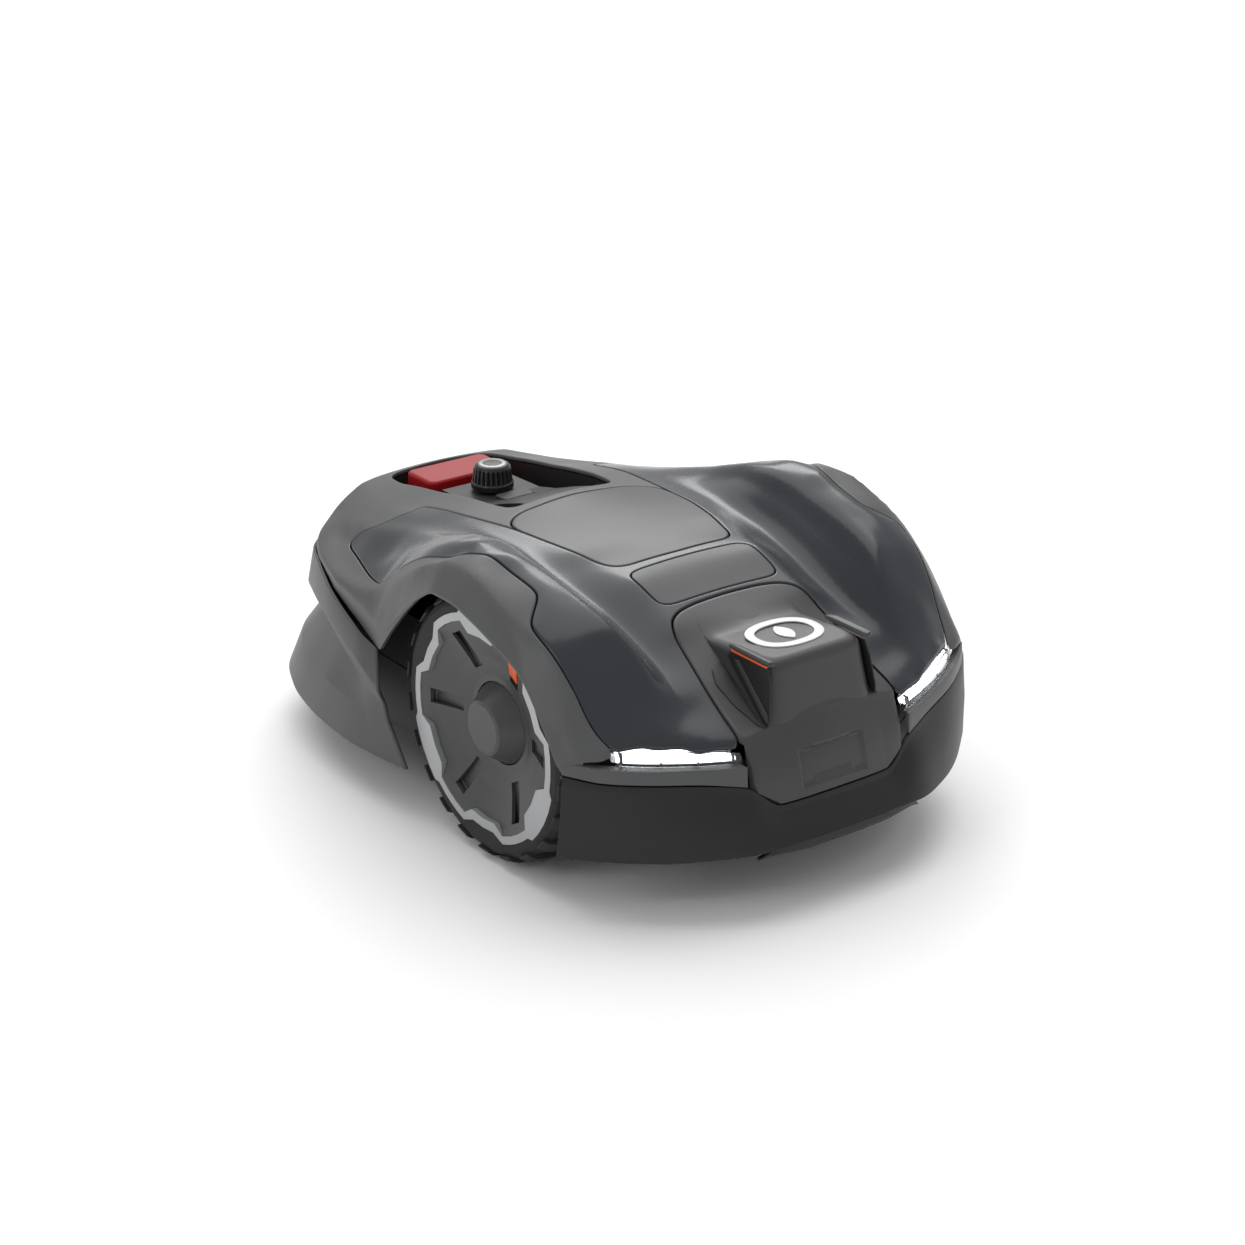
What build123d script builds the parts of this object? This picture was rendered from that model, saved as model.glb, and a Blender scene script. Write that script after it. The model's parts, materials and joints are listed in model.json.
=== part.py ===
from build123d import *
import os
import math
import numpy as np
from scipy.spatial import Delaunay

# Robotic lawn mower. Millimetres, +Z up, ground at Z = 0, the front faces -Y,
# X = 0 is the plane of symmetry, Y = 0 is the middle of the overall length.
# The mower's own left is +X. Half outlines are given for +X and mirrored.

# ================================================================ shared dimensions
SHELL_T = 3.5            # vertical thickness of the moulded covers
PANEL_GAP = 0.5          # each panel stands back this far from a shared outline
PIN_CLEAR = 0.06         # radial running clearance
BUMP = 3.0               # forward travel of the floating cover

WHEEL_R = 120.0          # over the lugs
WHEEL_Y = -94.8          # drive axle
WHEEL_Z = WHEEL_R

CHASSIS_Z0 = 44.0        # underside
CHASSIS_SPLIT = 105.0    # joint between lower and upper half
CHASSIS_TOP = 160.0
CHASSIS_HALF = 138.0     # half width between the drive wheels
CHASSIS_WALL = 4

DISC_Y = 45.0            # cutting disc axis
DISC_R = 95.0
DISC_Z = 30.0            # underside of the disc
BLADE_PIVOT_R = 85.0
BLADE_COUNT = 3

CASTER_X = 108.0         # swivel axis
CASTER_Y = 200.0
CASTER_TRAIL = 20.0
CASTER_R = 36.0
CASTER_W = 24.0
CASTER_PIN_R = 6

ON_BASE = (Align.CENTER, Align.CENTER, Align.MIN)
SIDES = ((-1, "right"), (1, "left"))    # sign of X, name

# ================================================================ outline tables
# Feature lines of the top skin, +X half, each a list of (y, x, z).
SKIN_LINES = [
    # middle of the spine
    [(-330, 0, 140), (-300, 0, 152), (-270, 0, 170), (-230, 0, 190), (-200, 0, 201),
     (-174, 0, 209.5), (-153, 0, 216.5), (-111, 0, 229), (-89, 0, 231.5), (-40, 0, 235),
     (10, 0, 236), (60, 0, 236), (110, 0, 234), (160, 0, 229), (210, 0, 221),
     (250, 0, 213), (290, 0, 203), (315, 0, 194)],
    # edge of the spine and of the nose cover
    [(-330, 88, 80), (-298, 87, 128), (-286, 85, 143.5), (-253, 80, 161.6),
     (-220, 74, 180.4), (-195, 71, 193.6), (-174, 68, 207), (-153, 66, 214.5),
     (-111, 66, 227), (-75, 68, 228.7), (-39, 75, 232), (-9, 80, 232.5), (28, 83, 231.5),
     (68, 85, 229), (113, 88, 225), (158, 93, 217), (186, 95, 211), (220, 92, 206),
     (250, 88, 201.5), (290, 80, 198.5), (315, 78, 190)],
    # floor of the valley between spine and fender
    [(-330, 105, 80), (-290, 104, 128), (-280, 104, 144.5), (-250, 107, 161.5),
     (-226, 107, 177), (-198, 103, 187), (-165, 101, 198), (-125, 103, 211),
     (-70, 107, 222.5), (-5, 105, 229.5), (40, 106, 228.5), (80, 108, 226.5),
     (120, 112, 221.5), (160, 113, 214), (200, 110, 206), (250, 104, 197.5),
     (285, 96, 194), (315, 92, 185)],
    # inner edge of the fender crest
    [(-330, 132, 80), (-280, 130, 130), (-270, 130, 147), (-250, 130, 163),
     (-240, 130, 171), (-226, 130, 187), (-211, 133, 206), (-197, 138, 220),
     (-183, 143, 230), (-149, 148, 241.5), (-100, 149, 252), (-45, 150, 259),
     (-10, 150, 254), (20, 149, 245), (56, 147, 233), (90, 142, 224), (120, 140, 216),
     (160, 141, 205), (200, 138, 195.5), (240, 128, 190), (270, 117, 188),
     (315, 109, 180)],
    # outer edge of the fender crest
    [(-330, 157, 80), (-270, 156, 130), (-257, 155, 149.5), (-250, 156, 157),
     (-240, 157, 166), (-222, 161, 186), (-211, 163, 198), (-183, 168, 225),
     (-149, 168, 241.5), (-128, 164, 248.5), (-100, 166, 255), (-75, 168, 261.5),
     (-45, 170, 261.5), (-10, 170, 253), (20, 170, 242), (56, 170, 225), (90, 169, 207),
     (120, 166, 195), (160, 161, 188), (190, 154, 184), (215, 148, 182), (245, 138, 184),
     (275, 125, 182), (315, 118, 175)],
    # top edge of the arch trim
    [(-330, 185, 80), (-245, 181, 145), (-236, 183, 154), (-222, 187, 168.5),
     (-206, 191, 191.5), (-179, 195.5, 217.5), (-157, 196, 230), (-151, 193, 233.5),
     (-136, 179, 243.5), (-128, 176, 246.5), (-99, 176, 253), (-66, 181, 260),
     (-50, 185, 257.5), (-27, 189, 248.5), (-4, 190, 241.5), (12, 190, 236),
     (36, 190, 223.5), (52, 190, 213.5), (69, 190, 200), (86, 189, 190), (110, 188, 184),
     (150, 181, 180), (185, 172, 178), (215, 163, 177), (245, 150, 178), (280, 135, 175),
     (315, 125, 168)],
    # shoulder of the arch trim
    [(-330, 200, 80), (-232, 204, 145), (-222, 206, 155), (-200, 208, 178),
     (-178, 208, 203), (-151, 208, 225), (-113, 205, 244), (-79, 203, 253.5),
     (-44, 203, 252.5), (-20, 205, 243), (0, 206, 233), (20, 206, 219), (40, 206, 204),
     (60, 205, 190), (80, 204, 184), (110, 201, 180), (150, 193, 177), (185, 182, 175),
     (215, 171, 174), (245, 156, 175), (280, 141, 172), (315, 132, 165)],
    # lip of the wheel arch and rear side edge
    [(-330, 217, 80), (-222, 217, 130), (-205, 217, 156), (-188, 217, 178),
     (-167, 217, 199), (-135, 217, 212), (-96, 217, 224), (-67, 217, 230),
     (-43, 217, 230), (-21, 217, 219), (3, 217, 200), (28, 217, 178), (49, 216, 168),
     (60, 214, 168), (80, 211, 171), (110, 207, 173), (150, 199, 173), (185, 187, 172),
     (215, 176, 171), (245, 160, 172), (280, 145, 170), (315, 136, 160)],
]

# Plan outlines, (x, y) on the +X half
BODY_SIDE = [
    (209, -230), (217, -221), (218, -195), (218, -120), (218, -60), (218, 0), (218, 30),
    (216, 50), (211, 80), (207, 110), (199, 150), (187, 185), (176, 215), (162, 243),
    (146, 261), (125, 276), (95, 288), (60, 297), (0, 302)]
HATCH_HALF = [
    (0, -94), (54, -91.5), (64, -85), (69, -73), (76, -39), (81, -8), (83.5, 28),
    (80, 44), (70, 55), (56, 61), (0, 63)]
HATCH_CORNER = 6         # index in HATCH_HALF where main cover and body shell meet
PLATE_HALF = [
    (0, -154.5), (52, -155), (61, -152), (64, -145), (64.5, -115), (62, -107.5),
    (54, -103.5), (0, -103.5)]
NOSE_TOP_HALF = [
    (0, -292), (84, -287), (81, -252), (79, -226), (75, -200), (73, -183), (67, -171),
    (55, -164), (36, -161), (0, -160)]
COVER_FRONT = [(84, -287), (118, -275.5), (147, -260.5), (168, -249.5), (180, -241.5)]
COVER_SIDE = [
    (185, -232), (188, -222), (191.5, -206), (196, -179), (197.5, -157), (194, -150.5),
    (178.5, -137.5), (173.5, -130), (175, -100), (178, -69), (181, -60), (186, -45),
    (190, -27), (190, 20), (190, 69), (191, 85), (183, 115), (169, 155), (157, 189),
    (151, 197.5), (145, 193), (139, 174), (123, 165), (110, 160.5), (96, 163),
    (94, 152), (93, 104), (88, 64)]
WELL_HALF = [
    (0, 75), (52, 77), (58, 84), (61, 110), (62, 180), (62, 250), (57, 276), (46, 286),
    (0, 290)]
COVER_HALF = (NOSE_TOP_HALF[:1:-1] + COVER_FRONT + COVER_SIDE
              + HATCH_HALF[HATCH_CORNER::-1])
SHELL_HALF = (HATCH_HALF[:HATCH_CORNER - 1:-1] + COVER_SIDE[::-1]
              + [(180, -241.5), (182, -243.5), (194, -241)] + BODY_SIDE)

# Lower edge of the body side over the wheel and to the rear, (y, z)
ARCH = [
    (-232, 127), (-222, 128.5), (-205, 156), (-188, 178), (-167, 199), (-135, 212),
    (-96, 223), (-67, 229), (-43, 229), (-21, 217), (3, 195), (28, 168), (49, 144),
    (77, 150), (100, 156), (140, 163), (175, 167), (210, 169), (330, 169)]
# Joint between the bumper and the parts above it, (x, z)
FRONT_SPLIT = [
    (0, 89.5), (56, 89.5), (88, 110.5), (123, 116.5), (161, 120.5), (194, 123.5),
    (209, 127), (217, 129)]


# ================================================================ curves
def slopes(x, y):
    """Monotone cubic slopes of a row of points."""
    step = np.diff(x)
    rise = np.diff(y) / step
    slope = np.zeros(len(x))
    for k in range(1, len(x) - 1):
        if rise[k - 1] * rise[k] > 0:
            before = 2 * step[k] + step[k - 1]
            after = step[k] + 2 * step[k - 1]
            slope[k] = (before + after) / (before / rise[k - 1] + after / rise[k])
    slope[0], slope[-1] = rise[0], rise[-1]
    return slope


def cubic(x, y, at):
    """Monotone cubic through (x, y), taken at one place and held at both ends."""
    x, y = np.asarray(x, float), np.asarray(y, float)
    at = min(max(at, x[0]), x[-1])
    slope = slopes(x, y)
    k = min(max(int(np.searchsorted(x, at)) - 1, 0), len(x) - 2)
    step = x[k + 1] - x[k]
    t = (at - x[k]) / step
    return float((2 * t**3 - 3 * t**2 + 1) * y[k]
                 + (t**3 - 2 * t**2 + t) * step * slope[k]
                 + (3 * t**2 - 2 * t**3) * y[k + 1]
                 + (t**3 - t**2) * step * slope[k + 1])


def table_value(table, at):
    """Straight-line reading of a two-column table."""
    return float(np.interp(at, [row[0] for row in table], [row[1] for row in table]))


def skin_section(y):
    """Feature points (x, z) of the skin's cross-section at y, middle to lip."""
    points = []
    for line in SKIN_LINES:
        stations = [row[0] for row in line]
        points.append((cubic(stations, [row[1] for row in line], y),
                       cubic(stations, [row[2] for row in line], y)))
    # one more point on the slope from the valley up to the fender crest
    valley, crest = points[2], points[3]
    points.insert(3, (valley[0] * 0.45 + crest[0] * 0.55,
                      valley[1] * 0.5 + crest[1] * 0.5))
    return points


def skin_height(x, y):
    """Height of the top skin over the plan point (x, y)."""
    points = skin_section(y)
    # the spine edge is repeated on the -X side to level the curve at the middle
    across = [-points[1][0]] + [p[0] for p in points]
    heights = [points[1][1]] + [p[1] for p in points]
    return cubic(across, heights, abs(x))


# ================================================================ outlines
def mirrored(half):
    """Closed outline from a +X half and its mirror image."""
    return list(half) + [(-x, y) for x, y in reversed(half) if x > 1e-6]


def signed_area(outline):
    a = np.array(outline)
    return 0.5 * float(np.sum(a[:, 0] * np.roll(a[:, 1], -1)
                              - np.roll(a[:, 0], -1) * a[:, 1]))


def grown(outline, distance):
    """Outline moved outwards by distance (inwards if negative), mitred."""
    points = np.array(outline, float)
    turn = 1.0 if signed_area(outline) > 0 else -1.0

    def normals(edges):
        across = np.stack([edges[:, 1], -edges[:, 0]], 1)
        return across / np.linalg.norm(edges, axis=1)[:, None]

    before = normals(points - np.roll(points, 1, 0))
    after = normals(np.roll(points, -1, 0) - points)
    mitre = before + after
    mitre /= np.maximum(np.linalg.norm(mitre, axis=1)[:, None], 1e-9)
    stretch = np.clip(np.sum(mitre * before, 1), 0.45, 1.0)
    return [tuple(p) for p in points + turn * distance * mitre / stretch[:, None]]


def subdivided(outline, step):
    """Closed outline with no side longer than step."""
    out = []
    for p, q in zip(outline, list(outline[1:]) + [outline[0]]):
        n = max(1, int(math.ceil(math.dist(p, q) / step)))
        out += [(p[0] + (q[0] - p[0]) * k / n, p[1] + (q[1] - p[1]) * k / n)
                for k in range(n)]
    return out


def inside(outline, point):
    """True if the point lies in the outline, by counting crossings."""
    x, y = point
    a = np.array(outline)
    b = np.roll(a, -1, 0)
    rise = np.where(b[:, 1] == a[:, 1], 1e-12, b[:, 1] - a[:, 1])
    crossing_x = (b[:, 0] - a[:, 0]) * (y - a[:, 1]) / rise + a[:, 0]
    hit = ((a[:, 1] > y) != (b[:, 1] > y)) & (x < crossing_x)
    return int(hit.sum()) % 2 == 1


def in_region(loops, point):
    """True if the point is inside the first loop and outside the others."""
    return inside(loops[0], point) and not any(inside(loop, point) for loop in loops[1:])


# ================================================================ faceted solids
def is_sliver(p, q, r):
    twice_area = abs((q[0] - p[0]) * (r[1] - p[1]) - (r[0] - p[0]) * (q[1] - p[1]))
    longest = max(math.dist(p, q), math.dist(q, r), math.dist(r, p))
    return twice_area < 0.01 * longest ** 2


def meshed(loops, grid):
    """Points, triangles and loops of the region in the first loop, less the others."""
    loops = [list(loop) for loop in loops]
    ring = np.array([p for loop in loops for p in loop])
    low, high = ring.min(0), ring.max(0)
    free = []
    for grid_x in np.arange(-math.ceil(high[0] / grid) * grid, high[0], grid):
        for grid_y in np.arange(math.floor(low[1] / grid) * grid, high[1], grid):
            point = (float(grid_x), float(grid_y) + grid / 3)
            nearest = np.min(np.hypot(ring[:, 0] - point[0], ring[:, 1] - point[1]))
            if nearest > grid * 0.55 and in_region(loops, point):
                free.append(point)
    # halve the boundary sides that the triangles miss, until all are met
    for _ in range(8):
        points = [p for loop in loops for p in loop] + free
        kept = []
        for triangle in Delaunay(np.array(points)).simplices:
            corners = [points[i] for i in triangle]
            if not is_sliver(*corners) and in_region(loops, tuple(np.mean(corners, 0))):
                kept.append(triangle)
        edges = {frozenset((int(t[i]), int(t[(i + 1) % 3]))) for t in kept for i in range(3)}
        missed, base, finer = 0, 0, []
        for loop in loops:
            new = []
            for i in range(len(loop)):
                j = (i + 1) % len(loop)
                new.append(loop[i])
                if frozenset((base + i, base + j)) not in edges:
                    missed += 1
                    new.append(((loop[i][0] + loop[j][0]) / 2,
                                (loop[i][1] + loop[j][1]) / 2))
            base += len(loop)
            finer.append(new)
        if not missed:
            upward = [t if signed_area([points[i] for i in t]) > 0 else t[::-1]
                      for t in kept]
            return points, [tuple(int(i) for i in t) for t in upward], loops
        loops = finer
    raise ValueError("outline not met")


def solid_of(triangles):
    """Solid bounded by triangles that all turn the same way."""
    volume = sum(float(np.dot(t[0], np.cross(t[1], t[2]))) for t in triangles)
    if volume < 0:
        triangles = [t[::-1] for t in triangles]
    return Solid(Shell([Face(Wire.make_polygon([Vector(*p) for p in t], close=True))
                        for t in triangles]))


def skin_panel(outline, holes=(), thickness=SHELL_T, grid=20.0):
    """Moulded cover over a plan outline: the skin above, its thickness below."""

    def loop(points, turn):
        fine = subdivided(points, grid)
        return fine if signed_area(points) * turn > 0 else fine[::-1]

    points, triangles, loops = meshed(
        [loop(outline, 1)] + [loop(hole, -1) for hole in holes], grid)
    top = [tuple(float(round(c, 4)) for c in (x, y, skin_height(x, y))) for x, y in points]
    low = [(x, y, z - thickness) for x, y, z in top]
    faces = [[top[i] for i in t] for t in triangles]
    faces += [[low[i] for i in reversed(t)] for t in triangles]
    base = 0
    for ring in loops:
        for i in range(len(ring)):
            a, b = base + i, base + (i + 1) % len(ring)
            faces += [[top[a], low[a], low[b]], [top[a], low[b], top[b]]]
        base += len(ring)
    return solid_of(faces)


def ribbon(rails):
    """Closed solid through rails, each a list of points of equal length; the
    rails go round the cross-section in order and the ends are capped."""
    rails = [[tuple(round(float(c), 4) for c in p) for p in rail] for rail in rails]
    count, length = len(rails), len(rails[0])
    faces = []
    for k in range(count):
        a, b = rails[k], rails[(k + 1) % count]
        for i in range(length - 1):
            faces += [[a[i], a[i + 1], b[i + 1]], [a[i], b[i + 1], b[i]]]
    for i in (0, length - 1):
        ring = [rail[i] for rail in rails]
        half = count // 2
        for k in range(half):
            a, b = ring[k], ring[(k + 1) % count]
            c, d = ring[count - 1 - k], ring[(count - 2 - k) % count]
            if k < half - 1:
                cap = [[a, b, d], [a, d, c]]
            elif count % 2 == 1:
                cap = [[a, b, c]]
            else:
                cap = []
            faces += [f[::-1] for f in cap] if i else cap
    return solid_of(faces)


def full_rail(half):
    """Rail across the mower from +X to -X, made from its +X half (x, y, z)."""
    half = list(half) if half[0][0] > half[-1][0] else list(half)[::-1]
    return half + [(-x, y, z) for x, y, z in reversed(half) if x > 1e-6]


def moved_in(rail, depth):
    """Rail that runs rearwards on the +X side, moved towards the inside in plan."""
    out = []
    for k, (x, y, *z) in enumerate(rail):
        before, after = rail[max(k - 1, 0)], rail[min(k + 1, len(rail) - 1)]
        run = np.array([after[0] - before[0], after[1] - before[1]])
        run = run / np.linalg.norm(run)
        out.append((x - depth * run[1], y + depth * run[0], *z))
    return out


def with_heights(line, heights):
    return [(x, y, z) for (x, y), z in zip(line, heights)]


def on_side(side, points):
    """Points of the +X side, mirrored if side is -1."""
    return [(side * x, y, z) for x, y, z in points]


# ================================================================ wheel frames
def axle(shift=0.0):
    """Drive axle, moved along Y by shift."""
    return Axis((0, WHEEL_Y + shift, WHEEL_Z), (1, 0, 0))


def half_section(side, shift=0.0):
    """Plane through the axle: local x outwards from the middle, local y up."""
    return Plane(origin=(0, WHEEL_Y + shift, WHEEL_Z), x_dir=(side, 0, 0),
                 z_dir=(0, -side, 0))


def wheel_face(side, x):
    """Plane across the axle at a distance x from the middle, facing outwards."""
    return Plane(origin=(side * x, WHEEL_Y, WHEEL_Z), x_dir=(0, -1, 0), z_dir=(side, 0, 0))


os.makedirs("parts", exist_ok=True)


def save(builder, name):
    builder.part.label = name
    export_step(builder.part, "parts/" + name + ".step")


# ================================================================ top covers
with BuildPart() as top_hatch:
    add(skin_panel(grown(mirrored(HATCH_HALF), -PANEL_GAP)))
save(top_hatch, "top_hatch")

with BuildPart() as name_plate:
    add(skin_panel(grown(mirrored(PLATE_HALF), -PANEL_GAP), thickness=2.0, grid=30.0))
save(name_plate, "name_plate")

with BuildPart() as main_cover:
    add(skin_panel(grown(mirrored(COVER_HALF), -PANEL_GAP), holes=[mirrored(PLATE_HALF)]))
save(main_cover, "main_cover")

# ---------------------------------------------------------------- body shell
WALL_OUTER_INSET = 0.9   # side wall faces, measured in from BODY_SIDE
WALL_INNER_INSET = 4.4
WALL_STEP = 22           # spacing of the points along the wall
# Strip above each front corner of the bumper: front x, y, back x, y, top z
CORNER_STRIP = [
    (88, -298, 86, -293, 128.6),
    (123, -283.5, 121, -279, 130.6),
    (161, -266.5, 159, -262, 133.4),
    (194, -244.5, 190, -240.5, 136),
    (209, -230.5, 205, -227.5, 138),
    (216.5, -222, 212.5, -219, 134),
]
# Space swept by the tyre: distance from the middle plane, radius
TYRE_CLEARANCE = [
    (150, 60), (209.2, 60), (209.2, 114), (203.8, 118), (198.4, 120.2), (188.4, 121.4),
    (150, 121.4)]


def side_wall():
    """Wall below the skin, over the arches and round the rear."""
    line = []
    for p, q in zip(BODY_SIDE[:-1], BODY_SIDE[1:]):
        n = max(1, round(np.hypot(q[0] - p[0], q[1] - p[1]) / WALL_STEP))
        line += [(p[0] + (q[0] - p[0]) * i / n, p[1] + (q[1] - p[1]) * i / n)
                 for i in range(n)]
    line.append(BODY_SIDE[-1])
    outer, inner = moved_in(line, WALL_OUTER_INSET), moved_in(line, WALL_INNER_INSET)
    # the last point stays on the middle plane
    outer[-1] = (0.0, line[-1][1] - WALL_OUTER_INSET)
    inner[-1] = (0.0, line[-1][1] - WALL_INNER_INSET)
    foot = [table_value(ARCH, y) for x, y in outer]
    head = [max(skin_height(*p) - 1.6, low + 0.6) for p, low in zip(outer, foot)]
    rails = [with_heights(outer, head), with_heights(inner, head),
             with_heights(inner, foot), with_heights(outer, foot)]
    return ribbon([full_rail(rail) for rail in rails])


def corner_strip(side):
    front = [row[:2] for row in CORNER_STRIP]
    back = [row[2:4] for row in CORNER_STRIP]
    top = [row[4] for row in CORNER_STRIP]
    base = [table_value(FRONT_SPLIT, x) + 0.8 for x, y in front]
    rails = [with_heights(front, top), with_heights(back, top),
             with_heights(back, base), with_heights(front, base)]
    return ribbon([on_side(side, rail) for rail in rails])


with BuildPart() as body_shell:
    add(skin_panel(grown(mirrored(SHELL_HALF), -PANEL_GAP), holes=[mirrored(WELL_HALF)]))
    add(side_wall())
    for side in (1, -1):
        add(corner_strip(side))
    # running clearance for the tyres, also with the cover pushed to its stop
    for side in (1, -1):
        for shift in (0.0, -BUMP):
            with BuildSketch(half_section(side, shift)):
                with BuildLine():
                    Polyline(*TYRE_CLEARANCE, close=True)
                make_face()
            revolve(axis=axle(shift), mode=Mode.SUBTRACT)
    # drop the loose scraps left by the cut
    largest = body_shell.solids().sort_by(SortBy.VOLUME)[-1]
    add(largest, mode=Mode.REPLACE)
save(body_shell, "body_shell")

# ---------------------------------------------------------------- nose cover
# Front face, (x, y) along its upper and lower edge
NOSE_FACE_TOP = [
    (-82.6, -286), (-56, -291), (-28, -292), (0, -292.5), (28, -292), (56, -291),
    (82.6, -286)]
NOSE_FACE_LOW = [
    (-86, -297), (-57, -306), (-28, -308), (0, -308.5), (28, -308), (57, -306),
    (86, -297)]
NOSE_FACE_T = 4

with BuildPart() as nose_cover:
    add(skin_panel(grown(mirrored(NOSE_TOP_HALF), -PANEL_GAP), grid=16.0))
    face_top = [(x, y, skin_height(x, y) - 0.4) for x, y in NOSE_FACE_TOP]
    face_low = [(x, y, table_value(FRONT_SPLIT, abs(x)) + 0.8) for x, y in NOSE_FACE_LOW]
    add(ribbon([face_top, face_low,
                [(x, y + NOSE_FACE_T, z) for x, y, z in face_low],
                [(x, y + NOSE_FACE_T, z) for x, y, z in face_top]]))
save(nose_cover, "nose_cover")

# ---------------------------------------------------------------- sensor housing
# Lower and upper cross-section, each: z, front half width, front y, rear half width, rear y
HOUSING_OUTSIDE = [(136, 59, -292.5, 57, -205), (203, 50, -280, 47, -188)]
HOUSING_INSIDE = [(130, 55, -288.5, 53, -209), (199.5, 46.5, -276, 43.5, -192)]

with BuildPart() as sensor_module:
    # raised housing of the forward sensor on the nose, open underneath
    for sections, mode in ((HOUSING_OUTSIDE, Mode.ADD), (HOUSING_INSIDE, Mode.SUBTRACT)):
        for z, front_half, front_y, rear_half, rear_y in sections:
            with BuildSketch(Plane.XY.offset(z)):
                with BuildLine():
                    Polyline((-front_half, front_y), (front_half, front_y),
                             (rear_half, rear_y), (-rear_half, rear_y), close=True)
                make_face()
        loft(ruled=True, mode=mode)
    # raised ridges along the upper side edges
    with BuildSketch(Plane.XY.offset(202.2)):
        with Locations((51, -256), (-51, -256)):
            Rectangle(10, 50)
    extrude(amount=4.8, taper=20)
    # the housing stands on the nose cover
    stations = [-320, -293, -286, -283, -270, -250, -230, -210, -185, -160]
    rails = [[(x, y, skin_height(x, y) + (0.4 if y > -284 else 4)) for y in stations]
             for x in (-70, -35, 0, 35, 70)]
    floor = [[(x, y, 60) for y in stations] for x in (70, -70)]
    add(ribbon(rails + floor), mode=Mode.SUBTRACT)
    add(nose_cover.part, mode=Mode.SUBTRACT)
    largest = sensor_module.solids().sort_by(SortBy.VOLUME)[-1]
    add(largest, mode=Mode.REPLACE)
save(sensor_module, "sensor_module")

PORT_T = 1.6
PORT_CORNERS = [(56.6, -262, 188), (60.6, -285, 152), (59.2, -236, 190)]   # +X side

with BuildPart() as sensor_ports:
    # triangular windows in both flanks of the sensor housing
    for side in (1, -1):
        add(ribbon([on_side(side, [(x, y, z), (x + PORT_T, y, z)])
                    for x, y, z in PORT_CORNERS]))
save(sensor_ports, "sensor_ports")

with BuildPart() as nose_accents:
    for side in (1, -1):
        with Locations((side * 52.8, -257, 200.9)):
            Box(3.6, 44, 2.2)
save(nose_accents, "nose_accents")

with BuildPart() as emblem_plate:
    with BuildSketch(Plane.XY.offset(203.1)):
        with Locations((0, -229)):
            Ellipse(27, 21)
    extrude(amount=1.2)
save(emblem_plate, "emblem_plate")

# ================================================================ bumper
BUMPER_TOP = [           # (x, y); the height follows FRONT_SPLIT
    (0, -309.5), (28, -309), (56, -307), (88, -298.5), (123, -284), (161, -267),
    (194, -245), (209, -231), (216.5, -223)]
BUMPER_LOW = [           # (x, y, z)
    (0, -328, 63), (30, -327.5, 63), (58, -326, 62), (84, -322, 60), (121, -305.5, 58),
    (160, -280, 56), (195, -250, 56), (210, -236, 57), (222, -222, 58)]
CHIN_TOP = [(0, -326, 61.5), (40, -325, 61.5), (68, -320, 61), (80, -316, 52)]
CHIN_LOW = [(0, -324, 51), (40, -323, 51), (68, -318, 51), (79, -315, 50.5)]
CHIN_DEPTH = 9


def behind_bumper(rail):
    """Inner face of the bumper, from its outer face."""
    return [(x * 0.982, y + 3.6, z) for x, y, z in rail]


with BuildPart() as front_bumper:
    bumper_top = [(x, y, table_value(FRONT_SPLIT, x) - 0.4) for x, y in BUMPER_TOP]
    rails = [bumper_top, BUMPER_LOW, behind_bumper(BUMPER_LOW), behind_bumper(bumper_top)]
    add(ribbon([full_rail(rail) for rail in rails]))
save(front_bumper, "front_bumper")

with BuildPart() as chin_insert:
    chin_top, chin_low = full_rail(CHIN_TOP), full_rail(CHIN_LOW)
    add(ribbon([chin_top, chin_low,
                [(x, y + CHIN_DEPTH, z) for x, y, z in chin_low],
                [(x, y + CHIN_DEPTH, z) for x, y, z in chin_top]]))
save(chin_insert, "chin_insert")

# ================================================================ rear skirt
SKIRT_T = 3.4
SKIRT_TOP = [            # (x, y); the height follows ARCH
    (217, 53), (217, 75), (214, 100), (204, 145), (190, 185), (178, 214), (163, 245),
    (146, 263), (125, 278), (95, 290), (60, 299), (0, 304)]
# Rails below it, from the top down, (x, y, z)
SKIRT_RAILS = [
    # lower edge of the upper band
    [(222, 44, 112), (222, 70, 122), (219, 98, 130), (210, 142, 138), (196, 186, 140),
     (183, 218, 138), (168, 249, 134), (150, 268, 132), (128, 283, 130), (97, 295, 130),
     (61, 303, 130), (0, 308, 130)],
    # recess under the band
    [(221, 36, 98), (219, 62, 102), (214, 92, 106), (204, 138, 110), (189, 184, 112),
     (177, 217, 112), (163, 246, 112), (146, 266, 112), (125, 281, 112), (95, 292, 112),
     (60, 300, 112), (0, 305, 112)],
    # fold
    [(223, 28, 86), (222, 55, 85), (220, 92, 82), (213, 140, 80), (199, 190, 78),
     (188, 225, 78), (172, 258, 80), (155, 278, 82), (132, 293, 84), (100, 304, 86),
     (62, 312, 86), (0, 316, 86)],
    # foot
    [(219, 6, 46), (223, 50, 44), (225, 90, 43), (221, 145, 43), (208, 208, 43),
     (196, 240, 43), (180, 272, 43), (162, 293, 43), (138, 309, 43), (104, 320, 43),
     (64, 326, 43), (0, 328, 43)],
]

with BuildPart() as rear_skirt:
    skirt_top = [(x, y, table_value(ARCH, y) - 1.8) for x, y in SKIRT_TOP]
    outer = [full_rail(rail) for rail in [skirt_top] + SKIRT_RAILS]
    inner = [moved_in(rail, SKIRT_T) for rail in outer]
    add(ribbon(outer + inner[::-1]))
save(rear_skirt, "rear_skirt")

# ================================================================ headlamps
LAMP_LINE = [(88, -290.5), (120, -278.5), (149, -264.5), (170, -252), (181, -243.5)]


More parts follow.
